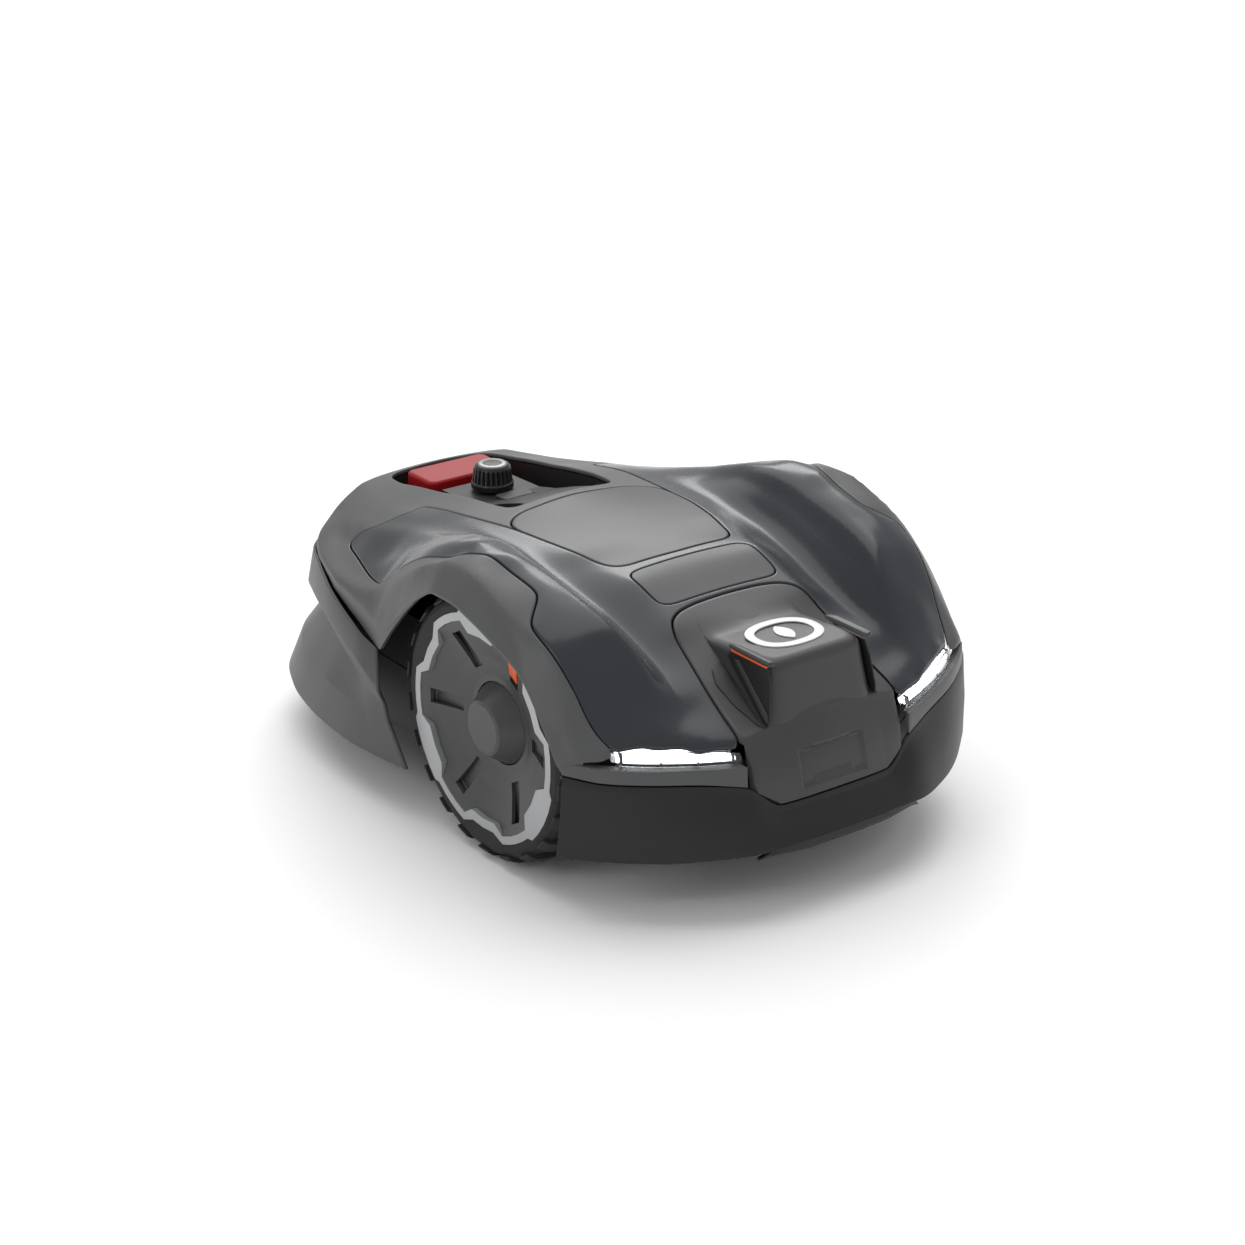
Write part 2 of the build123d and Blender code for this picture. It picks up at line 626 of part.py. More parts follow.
def lamp_band(side, setback, low_z, high_z, thickness, trim=0.0):
    """Curved strip behind LAMP_LINE, leaning forward at its foot and rising outwards."""
    line = [(x, y + setback) for x, y in LAMP_LINE]
    line[0] = (line[0][0] + trim, line[0][1] + trim * 0.4)
    line[-1] = (line[-1][0] - trim, line[-1][1] - trim * 0.8)

    def rail(depth, lean, z):
        return [(side * (x - 0.4 * depth), y + 0.9 * depth - lean, z + 0.04 * (x - 87))
                for x, y in line]

    return ribbon([rail(0, 0, high_z), rail(0, 1.5, low_z),
                   rail(thickness, 1.5, low_z), rail(thickness, 0, high_z)])


with BuildPart() as headlamp_lenses:
    for side in (1, -1):
        add(lamp_band(side, setback=0.8, low_z=129.8, high_z=140.6, thickness=2.4))
save(headlamp_lenses, "headlamp_lenses")

with BuildPart() as headlamp_reflectors:
    for side in (1, -1):
        add(lamp_band(side, setback=9, low_z=129.6, high_z=138.0, thickness=2.4, trim=2))
save(headlamp_reflectors, "headlamp_reflectors")

with BuildPart() as led_boards:
    for side in (1, -1):
        add(lamp_band(side, setback=13, low_z=129.6, high_z=136.0, thickness=1.6, trim=4))
save(led_boards, "led_boards")

# ================================================================ control well
WELL_FLOOR = 178.0
WELL_OUTER = 4.0         # wall faces, measured out from WELL_HALF
WELL_INNER = 1.0
KEY_Y = 153              # start button
KEY_SIZE = (34, 18)
KNOB_Y = 190
KNOB_R = 20
KNOB_SHAFT_R = 6
STOP_Y = 250             # stop button
STOP_STEM = (30, 20)
ISLAND_HALF = 38
# Side profile of the raised island, (y, z)
ISLAND_PROFILE = [
    (78, WELL_FLOOR + 1), (222, WELL_FLOOR + 1), (218, 203), (168, 204.5), (140, 211),
    (112, 221), (88, 228.5), (78, 230.5)]

with BuildPart() as well_wall:
    with BuildSketch(Plane.XY.offset(WELL_FLOOR)):
        with BuildLine():
            Polyline(*grown(mirrored(WELL_HALF), WELL_OUTER), close=True)
        make_face()
        with BuildLine():
            Polyline(*grown(mirrored(WELL_HALF), WELL_INNER), close=True)
        make_face(mode=Mode.SUBTRACT)
    extrude(amount=70)
    # the wall ends just under the deck
    stations = [60, 80, 100, 130, 160, 190, 220, 250, 270, 285, 300]
    rails = [[(x, y, skin_height(x, min(y, 297)) - SHELL_T - 1.2) for y in stations]
             for x in (-72, -48, -24, 0, 24, 48, 72)]
    lid = [[(x, y, 300) for y in stations] for x in (72, -72)]
    add(ribbon(rails + lid), mode=Mode.SUBTRACT)

with BuildPart() as control_well:
    # tray under the opening in the deck
    with BuildSketch(Plane.XY.offset(WELL_FLOOR)):
        with BuildLine():
            Polyline(*grown(mirrored(WELL_HALF), WELL_OUTER), close=True)
        make_face()
    extrude(amount=3)
    add(well_wall.part)
    # raised island that carries the controls, ramping up to the front rim
    with BuildSketch(Plane.YZ.offset(-ISLAND_HALF)):
        with BuildLine():
            Polyline(*ISLAND_PROFILE, close=True)
        make_face()
    extrude(amount=2 * ISLAND_HALF)
    # hollow underside, with solid columns left under the knob and the start button
    with BuildSketch(Plane.XY.offset(WELL_FLOOR - 1)):
        with Locations((0, 149)):
            Rectangle(68, 132)
        with Locations((0, KNOB_Y)):
            Circle(11, mode=Mode.SUBTRACT)
        with Locations((0, KEY_Y)):
            Rectangle(42, 26, mode=Mode.SUBTRACT)
    extrude(amount=21, mode=Mode.SUBTRACT)
    # bores for the knob shaft, the start button and the stop button
    with Locations((0, KNOB_Y, WELL_FLOOR)):
        Hole(radius=KNOB_SHAFT_R + PIN_CLEAR)
    with Locations((0, KEY_Y, WELL_FLOOR + 40)):
        Box(KEY_SIZE[0] + 0.6, KEY_SIZE[1] + 0.6, 90, mode=Mode.SUBTRACT)
    with BuildSketch(Plane.XY.offset(WELL_FLOOR - 1)):
        with Locations((0, STOP_Y)):
            Rectangle(STOP_STEM[0] + 0.3, STOP_STEM[1] + 0.3)
    extrude(amount=6, mode=Mode.SUBTRACT)
save(control_well, "control_well")

# ---------------------------------------------------------------- controls
with BuildPart() as stop_button:
    with BuildSketch(Plane.XY.offset(185.5)):
        with Locations((0, STOP_Y)):
            RectangleRounded(90, 48, 9)
    extrude(amount=22.5, taper=4)
    fillet(stop_button.edges().group_by(Axis.Z)[-1], 3.5)
    with BuildSketch(Plane.XY.offset(171)):
        with Locations((0, STOP_Y)):
            Rectangle(*STOP_STEM)
    extrude(amount=15)
save(stop_button, "stop_button")

with BuildPart() as start_button:
    with BuildSketch(Plane.XY.offset(174)):
        with Locations((0, KEY_Y)):
            RectangleRounded(*KEY_SIZE, 3)
    extrude(amount=36.5)
    fillet(start_button.edges().group_by(Axis.Z)[-1], 1.6)
    # flange at the foot
    with BuildSketch(Plane.XY.offset(172.5)):
        with Locations((0, KEY_Y)):
            Rectangle(42, 24)
    extrude(amount=4.2)
save(start_button, "start_button")

with BuildPart() as jog_shaft:
    with Locations((0, KNOB_Y, 173)):
        Cylinder(10, 4.5, align=ON_BASE)
        Cylinder(KNOB_SHAFT_R, 47, align=ON_BASE)
    chamfer(jog_shaft.edges().group_by(Axis.Z)[-1], 0.6)
save(jog_shaft, "jog_shaft")

with BuildPart() as jog_knob:
    with BuildSketch(Plane.XY.offset(206)):
        with Locations((0, KNOB_Y)):
            Circle(KNOB_R)
    extrude(amount=24, taper=5)
    fillet(jog_knob.edges().group_by(Axis.Z)[-1], 2.2)
    # fine grooves round the side
    with BuildSketch(Plane.XY.offset(208.5)):
        with Locations((0, KNOB_Y)):
            with PolarLocations(KNOB_R + 0.4, 36):
                Circle(0.75)
    extrude(amount=18, mode=Mode.SUBTRACT)
    with BuildSketch(Plane.XY.offset(206)):
        with Locations((0, KNOB_Y)):
            Circle(KNOB_SHAFT_R + PIN_CLEAR)
    extrude(amount=15, mode=Mode.SUBTRACT)
save(jog_knob, "jog_knob")

# ================================================================ drive wheels
TYRE_R = 114.3           # under the lugs
TYRE_OUT = 208.0         # lug faces, from the middle plane
TYRE_IN = 152.0
LUG_COUNT = 22           # in each of two rows
LOBE_HALF = 12.3         # degrees
LOBE_R = 92.5
NOTCH_R = 82.5
LOBE_COUNT = 6
LOBE_ANGLES = [30 + 60 * k for k in range(LOBE_COUNT)]
CUT_START, CUT_LENGTH = 180, 28    # reach of the outlines cut through the wheel cover

# Half sections of the turned pieces: distance from the middle plane, radius
TYRE_PROFILE = [
    (154, 91.4), (207.2, 91.4), (207.2, 106), (205.2, 110.5), (200, 113.6),
    (192, TYRE_R), (168, TYRE_R), (160, 113.6), (154.5, 109.5), (154, 104)]
LUG_TRIM_PROFILE = [     # everything outside the crowned tread
    (150, 118), (152, 118), (156, WHEEL_R), (188, WHEEL_R), (198, 118.5), (203, 116.5),
    (TYRE_OUT, 112.5), (210, 112.5), (210, 130), (150, 130)]
RIM_PROFILES = [
    [(154, 86), (196, 86), (196, 91), (154, 91)],      # barrel
    [(174, 0), (179, 0), (179, 87), (174, 87)],        # web
    [(115, 0), (179, 0), (179, 8), (115, 8)],          # shaft
    [(156, 0), (176, 0), (176, 16), (156, 13)],        # hub
]
COVER_PROFILE = [
    (184.6, 36.6), (188.2, 36.6), (188.6, 42), (193.8, 60), (200.5, 78), (206.9, 93.5),
    (203.2, 93.5), (196.8, 78), (190.2, 60), (184.9, 42)]
SLOT_FLOOR_PROFILE = [(185.6, 49), (193.0, 84.5), (195.0, 84.5), (187.6, 49)]
HUB_CAP_PROFILE = [
    (179.3, 0), (206.6, 0), (206.6, 21), (205.4, 24), (188, 35.4), (186, 36.2),
    (184.6, 36.2), (184.6, 33), (202, 21), (202, 14), (179.3, 14)]
ACCENT_PROFILE = [(190.6, 60), (196.4, 86), (199.6, 86), (193.8, 60)]

# Outlines seen along the axle: radius, degrees from the middle line of a lobe
SLOT_OUTLINE = [(51, -7), (84, -4.6), (84, 4.6), (51, 7)]
ACCENT_OUTLINE = [(66, -4.4), (83, -3.9), (83, 3.9), (66, 4.4)]


def wheel_points(side, polar_points, turn=0):
    """Points on a wheel_face plane from (radius, degrees from the top) pairs."""
    out = []
    for radius, degrees in polar_points:
        angle = np.radians(turn + degrees)
        out.append((radius * np.sin(angle), radius * np.cos(angle) * -side))
    return out


def lobed_outline(side, gap):
    """Six-lobed edge of the wheel cover."""
    lobe = [(LOBE_R + gap, d) for d in (-LOBE_HALF, -4, 4, LOBE_HALF)]
    notch = [(NOTCH_R + gap, d) for d in (18.2, 30, 41.8)]
    return [p for c in LOBE_ANGLES for p in wheel_points(side, lobe + notch, c)]


def ring_outline(side, gap):
    """Three-fold outer edge of the visible rim ring."""
    third = [(104 + gap, d) for d in (-15.5, -8, 0, 8, 15.5)]
    third += [(100 + gap, d) for d in (18.5, 25, 31, 37, 43)]
    third += [(91.5 + gap, d) for d in (50.5, 60, 69.5)]
    third += [(100 + gap, d) for d in (77, 83, 89, 95, 101.5)]
    return [p for k in range(3) for p in wheel_points(side, third, 120 * k)]


def make_tyre(side, side_name):
    with BuildPart() as tyre:
        with BuildSketch(half_section(side)):
            with BuildLine():
                Polyline(*TYRE_PROFILE, close=True)
            make_face()
        revolve(axis=axle())
        # seat of the rim ring
        with BuildSketch(wheel_face(side, 199)):
            with BuildLine():
                Polyline(*ring_outline(side, 0.35), close=True)
            make_face()
        extrude(amount=10, mode=Mode.SUBTRACT)
        # tread blocks, two staggered rows
        for row, (start, end) in enumerate(((TYRE_IN, 179.0), (181.0, TYRE_OUT))):
            with BuildSketch(wheel_face(side, start)):
                with PolarLocations(115.4, LUG_COUNT, start_angle=row * 180.0 / LUG_COUNT):
                    Rectangle(9.2, 14.5)
            extrude(amount=end - start)
        with BuildSketch(half_section(side)):
            with BuildLine():
                Polyline(*LUG_TRIM_PROFILE, close=True)
            make_face()
        revolve(axis=axle(), mode=Mode.SUBTRACT)
    save(tyre, "tyre_" + side_name)


def make_rim(side, side_name):
    with BuildPart() as rim:
        with BuildSketch(half_section(side)):
            for profile in RIM_PROFILES:
                with BuildLine():
                    Polyline(*profile, close=True)
                make_face()
        revolve(axis=axle())
        # visible ring round the wheel cover
        with BuildSketch(wheel_face(side, 203)):
            with BuildLine():
                Polyline(*ring_outline(side, 0), close=True)
            make_face()
            with BuildLine():
                Polyline(*lobed_outline(side, 0.35), close=True)
            make_face(mode=Mode.SUBTRACT)
        extrude(amount=4.6)
        # joins the ring to the barrel
        with BuildSketch(wheel_face(side, 194.5)):
            Circle(90.8)
            with BuildLine():
                Polyline(*lobed_outline(side, 0.7), close=True)
            make_face(mode=Mode.SUBTRACT)
        extrude(amount=10.5)
        # weight-saving windows in the web
        with BuildSketch(wheel_face(side, 173)):
            with PolarLocations(56, 6):
                Circle(15)
        extrude(amount=7, mode=Mode.SUBTRACT)
    save(rim, "wheel_rim_" + side_name)


def make_wheel_cover(side, side_name):
    with BuildPart() as wheel_cover:
        # the dish, then the floors of its slots, each trimmed to the lobed edge
        for profile in (COVER_PROFILE, SLOT_FLOOR_PROFILE):
            with BuildSketch(half_section(side)):
                with BuildLine():
                    Polyline(*profile, close=True)
                make_face()
            revolve(axis=axle())
            with BuildSketch(wheel_face(side, CUT_START)):
                with BuildLine():
                    Polyline(*lobed_outline(side, 0.0), close=True)
                make_face()
            extrude(amount=CUT_LENGTH, mode=Mode.INTERSECT)
            if profile is COVER_PROFILE:
                # radial slots through the dish
                for angle in LOBE_ANGLES:
                    with BuildSketch(wheel_face(side, CUT_START)):
                        with BuildLine():
                            Polyline(*wheel_points(side, SLOT_OUTLINE, angle), close=True)
                        make_face()
                    extrude(amount=CUT_LENGTH, mode=Mode.SUBTRACT)
    save(wheel_cover, "wheel_cover_" + side_name)


def make_hub_cap(side, side_name):
    with BuildPart() as hub_cap:
        with BuildSketch(half_section(side)):
            with BuildLine():
                Polyline(*HUB_CAP_PROFILE, close=True)
            make_face()
        revolve(axis=axle())
    save(hub_cap, "hub_cap_" + side_name)


def make_wheel_accent(side, side_name):
    """Insert in one of the slots."""
    with BuildPart() as accent:
        with BuildSketch(wheel_face(side, CUT_START)):
            with BuildLine():
                Polyline(*wheel_points(side, ACCENT_OUTLINE, LOBE_ANGLES[0]), close=True)
            make_face()
        extrude(amount=CUT_LENGTH)
        with BuildSketch(half_section(side)):
            with BuildLine():
                Polyline(*ACCENT_PROFILE, close=True)
            make_face()
        revolve(axis=axle(), mode=Mode.INTERSECT)
    save(accent, "wheel_accent_" + side_name)


for side, side_name in SIDES:
    make_tyre(side, side_name)
    make_rim(side, side_name)
    make_wheel_cover(side, side_name)
    make_hub_cap(side, side_name)
    make_wheel_accent(side, side_name)

# ================================================================ rear casters
CASTER_AXLE_Y = CASTER_Y + CASTER_TRAIL
CASTER_AXLE_R = 4
FORK_ARM_T = 4
# Side profile of a fork arm, (y, z)
FORK_ARM = [
    (CASTER_Y - 4, 80), (CASTER_Y + 26, 80), (CASTER_AXLE_Y + 8, 36),
    (CASTER_AXLE_Y + 5, 29), (CASTER_AXLE_Y - 5, 29), (CASTER_AXLE_Y - 8, 36)]


def make_caster_fork(side, side_name):
    caster_x = side * CASTER_X
    with BuildPart() as fork:
        # swivel pin and its retaining head
        with Locations((caster_x, CASTER_Y, 78)):
            Cylinder(CASTER_PIN_R, 33, align=ON_BASE)
        with Locations((caster_x, CASTER_Y, 109)):
            Cylinder(9, 2, align=ON_BASE)
        # bridge
        with BuildSketch(Plane.XY.offset(76)):
            with Locations((caster_x, CASTER_Y + 9)):
                RectangleRounded(37, 42, 9)
        extrude(amount=6)
        for arm in (1, -1):
            with BuildSketch(Plane.YZ.offset(caster_x + arm * 16.5 - FORK_ARM_T / 2)):
                with BuildLine():
                    Polyline(*FORK_ARM, close=True)
                make_face()
            extrude(amount=FORK_ARM_T)
        with Locations(Location((caster_x, CASTER_AXLE_Y, CASTER_R), (0, 90, 0))):
            Cylinder(CASTER_AXLE_R, 37)
    save(fork, "caster_fork_" + side_name)


def make_caster_wheel(side, side_name):
    caster_x = side * CASTER_X
    centre = Location((caster_x, CASTER_AXLE_Y, CASTER_R), (0, 90, 0))
    with BuildPart() as roller:
        with Locations(centre):
            Cylinder(CASTER_R, CASTER_W)
        fillet(roller.edges(), 3)
        with Locations(centre):
            Hole(radius=CASTER_AXLE_R + PIN_CLEAR, depth=40)
        # ring-shaped recess in both faces
        for face in (1, -1):
            with BuildSketch(Plane(
                    origin=(caster_x + face * CASTER_W / 2, CASTER_AXLE_Y, CASTER_R),
                    x_dir=(0, 1, 0), z_dir=(-face, 0, 0))):
                Circle(26)
                Circle(9, mode=Mode.SUBTRACT)
            extrude(amount=4, mode=Mode.SUBTRACT)
    save(roller, "caster_wheel_" + side_name)


for side, side_name in SIDES:
    make_caster_fork(side, side_name)
    make_caster_wheel(side, side_name)

with BuildPart() as caster_bushes:
    for side in (1, -1):
        with Locations((side * CASTER_X, CASTER_Y, 85.5)):
            Cylinder(10, 22.5, align=ON_BASE)
    with Locations((CASTER_X, CASTER_Y, 108), (-CASTER_X, CASTER_Y, 108)):
        Hole(radius=CASTER_PIN_R + PIN_CLEAR)
save(caster_bushes, "caster_bushes")

# ================================================================ chassis
CHASSIS_LINE = [         # (x, y), +X half
    (0, -285), (60, -284), (100, -272), (CHASSIS_HALF, -250), (CHASSIS_HALF, 40),
    (172, 48), (172, 205), (158, 240), (138, 262), (110, 274), (60, 282), (0, 286)]
SCREWS = [(130, -200), (130, -60), (164, 70), (40, 277), (60, -275)]
SCREWS = SCREWS + [(-x, y) for x, y in SCREWS]
SCREW_BOSS_R = 6
SCREW_HOLE_R = 2.1
CHASSIS_FLOOR = CHASSIS_Z0 + CHASSIS_WALL
DISC_WELL_R = 124.0
CASTER_WELL_R = 59
WELL_DEPTH = 44          # of the disc and caster wells, from the underside
WELL_ROOF_TOP = CHASSIS_Z0 + WELL_DEPTH + CHASSIS_WALL
CASTERS = [(CASTER_X, CASTER_Y), (-CASTER_X, CASTER_Y)]
MOTOR_R = 24
DECK_STEP_Y = -235       # the upper chassis is lower in front of this
FRONT_DECK_Z = 125
ROOF_T = 3.5

with BuildPart() as chassis_lower:
    with BuildSketch(Plane.XY.offset(CHASSIS_Z0)):
        with BuildLine():
            Polyline(*mirrored(CHASSIS_LINE), close=True)
        make_face()
    extrude(amount=CHASSIS_SPLIT - CHASSIS_Z0)
    chamfer(chassis_lower.edges().group_by(Axis.Z)[0], 3)
    # inside, leaving the wells and the screw bosses
    with BuildSketch(Plane.XY.offset(CHASSIS_FLOOR)):
        with BuildLine():
            Polyline(*grown(mirrored(CHASSIS_LINE), -CHASSIS_WALL), close=True)
        make_face()
        with Locations((0, DISC_Y)):
            Circle(DISC_WELL_R + CHASSIS_WALL, mode=Mode.SUBTRACT)
        with Locations(*CASTERS):
            Circle(CASTER_WELL_R + CHASSIS_WALL, mode=Mode.SUBTRACT)
        with Locations(*SCREWS):
            Circle(SCREW_BOSS_R, mode=Mode.SUBTRACT)
    extrude(amount=100, mode=Mode.SUBTRACT)
    # space above the roofs of the three wells
    with BuildSketch(Plane.XY.offset(WELL_ROOF_TOP)):
        with Locations((0, DISC_Y)):
            Circle(DISC_WELL_R + CHASSIS_WALL + 0.01)
        with Locations(*CASTERS):
            Circle(CASTER_WELL_R + CHASSIS_WALL + 0.01)
        with BuildLine():
            Polyline(*grown(mirrored(CHASSIS_LINE), -CHASSIS_WALL), close=True)
        make_face(mode=Mode.INTERSECT)
        with Locations(*SCREWS):
            Circle(SCREW_BOSS_R, mode=Mode.SUBTRACT)
    extrude(amount=20, mode=Mode.SUBTRACT)
    with BuildSketch(Plane.XY.offset(CHASSIS_Z0)):
        with Locations((0, DISC_Y)):
            Circle(DISC_WELL_R)
        with Locations(*CASTERS):
            Circle(CASTER_WELL_R)
    extrude(amount=WELL_DEPTH, mode=Mode.SUBTRACT)
    # bosses and bores for the caster pins, opening for the cutting motor
    with Locations(*[(x, y, CHASSIS_Z0 + WELL_DEPTH) for x, y in CASTERS]):
        Cylinder(15, 20, align=ON_BASE)
    with BuildSketch(Plane.XY.offset(80)):
        with Locations(*CASTERS):
            Circle(10.02)
        with Locations((0, DISC_Y)):
            Circle(42)
    extrude(amount=40, mode=Mode.SUBTRACT)
    # cradles under the drive motors
    for side in (1, -1):
        for x, width in ((86, 14), (122, 12)):
            with Locations((side * x, WHEEL_Y, CHASSIS_FLOOR)):
                Box(width, 40, 60, align=ON_BASE)
    with Locations(Location((0, WHEEL_Y, WHEEL_Z), (0, 90, 0))):
        Cylinder(MOTOR_R + 0.05, 268, mode=Mode.SUBTRACT)
    # screw holes with sunk heads
    for radius, depth in ((SCREW_HOLE_R, 80), (4, 7.5)):
        with BuildSketch(Plane.XY.offset(CHASSIS_Z0 - 1)):
            with Locations(*SCREWS):
                Circle(radius)
        extrude(amount=depth, mode=Mode.SUBTRACT)
save(chassis_lower, "chassis_lower")

SEAL_T = 1.5

with BuildPart() as chassis_upper:
    with BuildSketch(Plane.XY.offset(CHASSIS_SPLIT + SEAL_T)):
        with BuildLine():
            Polyline(*mirrored(CHASSIS_LINE), close=True)
        make_face()
    extrude(amount=CHASSIS_TOP - CHASSIS_SPLIT - SEAL_T)
    # step down to the front deck
    with Locations((0, DECK_STEP_Y - 65, FRONT_DECK_Z)):
        Box(400, 130, 60, align=ON_BASE, mode=Mode.SUBTRACT)
    # inside, up to the front roof and then up to the main roof
    with BuildSketch(Plane.XY.offset(CHASSIS_SPLIT)):
        with BuildLine():
            Polyline(*grown(mirrored(CHASSIS_LINE), -CHASSIS_WALL), close=True)
        make_face()
        with Locations(*SCREWS):
            Circle(SCREW_BOSS_R, mode=Mode.SUBTRACT)
    extrude(amount=FRONT_DECK_Z - ROOF_T - CHASSIS_SPLIT, mode=Mode.SUBTRACT)
    with BuildSketch(Plane.XY.offset(121)):
        with BuildLine():
            Polyline(*grown(mirrored([(CHASSIS_HALF, DECK_STEP_Y)] + CHASSIS_LINE[4:]),
                            -CHASSIS_WALL), close=True)
        make_face()
    extrude(amount=CHASSIS_TOP - ROOF_T - 121, mode=Mode.SUBTRACT)
    # shaft openings
    with Locations(Location((0, WHEEL_Y, WHEEL_Z), (0, 90, 0))):
        Cylinder(10, 300, mode=Mode.SUBTRACT)
    with BuildSketch(Plane.XY.offset(CHASSIS_SPLIT)):
        with Locations(*SCREWS):
            Circle(SCREW_HOLE_R)
    extrude(amount=14, mode=Mode.SUBTRACT)
save(chassis_upper, "chassis_upper")

with BuildPart() as chassis_seal:
    with BuildSketch(Plane.XY.offset(CHASSIS_SPLIT)):
        with BuildLine():
            Polyline(*grown(mirrored(CHASSIS_LINE), -0.6), close=True)
        make_face()
        with BuildLine():
            Polyline(*grown(mirrored(CHASSIS_LINE), -3.4), close=True)
        make_face(mode=Mode.SUBTRACT)
    extrude(amount=SEAL_T)
save(chassis_seal, "chassis_seal")

with BuildPart() as chassis_screws:
    # heads with hexagon sockets, then shanks
    with BuildSketch(Plane.XY.offset(CHASSIS_Z0 + 1.5)):
        with Locations(*SCREWS):
            Circle(3.7)
            RegularPolygon(1.9, 6, mode=Mode.SUBTRACT)
    extrude(amount=4.9)
    with BuildSketch(Plane.XY.offset(CHASSIS_Z0 + 4.5)):
        with Locations(*SCREWS):
            Circle(2)
    extrude(amount=68)
save(chassis_screws, "chassis_screws")

# ---------------------------------------------------------------- inside the chassis
with BuildPart() as drive_motors:
    for side in (1, -1):
        with Locations(Location((side * 99.5, WHEEL_Y, WHEEL_Z), (0, 90, 0))):
            Cylinder(MOTOR_R, 67)
        with Locations(Location((side * 61, WHEEL_Y, WHEEL_Z), (0, 90, 0))):
            Cylinder(15, 10)
    # sockets for the wheel shafts
    with Locations(Location((123.5, WHEEL_Y, WHEEL_Z), (0, 90, 0)),
                   Location((-123.5, WHEEL_Y, WHEEL_Z), (0, 90, 0))):
        Cylinder(8 + PIN_CLEAR, 20, mode=Mode.SUBTRACT)
save(drive_motors, "drive_motors")

with BuildPart() as battery_pack:
    with BuildSketch(Plane.XY.offset(CHASSIS_FLOOR + 0.2)):
        with Locations((0, -190)):
            RectangleRounded(112, 104, 6)
    extrude(amount=50)
    chamfer(battery_pack.edges().group_by(Axis.Z)[-1], 2)
save(battery_pack, "battery_pack")

BOARD_Z = 110
BOARD_T = 1.6
BOARD_TOP = BOARD_Z + BOARD_T
BOARD_FOOT_H = 11.7

with BuildPart() as main_circuit_board:
    with Locations((0, -186, BOARD_Z)):
        Box(124, 92, BOARD_T, align=ON_BASE)
    # flat square packages
    with Locations((-30, -186, BOARD_TOP), (14, -200, BOARD_TOP)):
        Box(26, 26, 2.4, align=ON_BASE)
    # upright round components
    with Locations((44, -160, BOARD_TOP), (52, -186, BOARD_TOP), (44, -212, BOARD_TOP)):
        Cylinder(5, 13, align=ON_BASE)
    # long blocks at the rear edge
    with Locations((-40, -150, BOARD_TOP), (0, -150, BOARD_TOP)):
        Box(22, 9, 8, align=ON_BASE)
    # feet
    with Locations(*[(x, y, BOARD_Z - BOARD_FOOT_H) for y in (-228, -146)
                     for x in (56, -56)]):
        Cylinder(3, BOARD_FOOT_H, align=ON_BASE)
save(main_circuit_board, "main_circuit_board")

with BuildPart() as charging_contacts:
    for side in (1, -1):
        with Locations((side * 24, -286.3, 74)):
            Box(16, 2, 26)
        with Locations((side * 24, -288, 74)):
            Box(10, 3, 18)
save(charging_contacts, "charging_contacts")

# ================================================================ cutting gear
RODS = [(45.0, DISC_Y + 26), (-45.0, DISC_Y + 26), (0.0, DISC_Y - 52)]
ROD_R = 5
SPINDLE_Y = 132
SPINDLE_R = 4.5
DISC_SHAFT_R = 5
SKID_PIN_R = 4
BLADE_SCREW_R = 2.5
PIVOTS = []              # x, y, angle of each blade pivot
for pivot_angle in np.radians([90 + 360 / BLADE_COUNT * k for k in range(BLADE_COUNT)]):
    PIVOTS.append((float(BLADE_PIVOT_R * np.cos(pivot_angle)),
                   float(DISC_Y + BLADE_PIVOT_R * np.sin(pivot_angle)), pivot_angle))

with BuildPart() as height_guide_rods:
    with Locations(*[(x, y, WELL_ROOF_TOP) for x, y in RODS]):
        Cylinder(ROD_R, 64, align=ON_BASE)
save(height_guide_rods, "height_guide_rods")

with BuildPart() as height_spindle:
    with Locations((0, SPINDLE_Y, WELL_ROOF_TOP + 0.4)):
        Cylinder(SPINDLE_R, 61, align=ON_BASE)
save(height_spindle, "height_spindle")

with BuildPart() as height_motor:
    # gear housing over the spindle, motor hanging behind it
    with Locations((0, 140, 145)):
        Box(34, 46, 11.3, align=ON_BASE)
    with Locations((0, 162, 108)):
        Cylinder(9, 38, align=ON_BASE)
    with Locations((0, SPINDLE_Y, 144)):
        Cylinder(SPINDLE_R + PIN_CLEAR, 10, align=ON_BASE, mode=Mode.SUBTRACT)
save(height_motor, "height_motor")

with BuildPart() as cutting_motor_carriage:
    with Locations((0, DISC_Y, 62)):
        Cylinder(38, 50, align=ON_BASE)
    fillet(cutting_motor_carriage.edges().group_by(Axis.Z)[-1], 3)
    # flange with an arm to the spindle
    with BuildSketch(Plane.XY.offset(96)):
        with Locations((0, DISC_Y)):
            Circle(62)
        with Locations((0, 122)):
            Rectangle(20, 36)
    extrude(amount=6)
    with BuildSketch(Plane.XY.offset(90)):
        with Locations(*RODS):
            Circle(ROD_R + PIN_CLEAR)
        with Locations((0, SPINDLE_Y)):
            Circle(SPINDLE_R + PIN_CLEAR)
    extrude(amount=20, mode=Mode.SUBTRACT)
    with Locations((0, DISC_Y, 61)):
        Cylinder(DISC_SHAFT_R + PIN_CLEAR, 32, align=ON_BASE, mode=Mode.SUBTRACT)
save(cutting_motor_carriage, "cutting_motor_carriage")

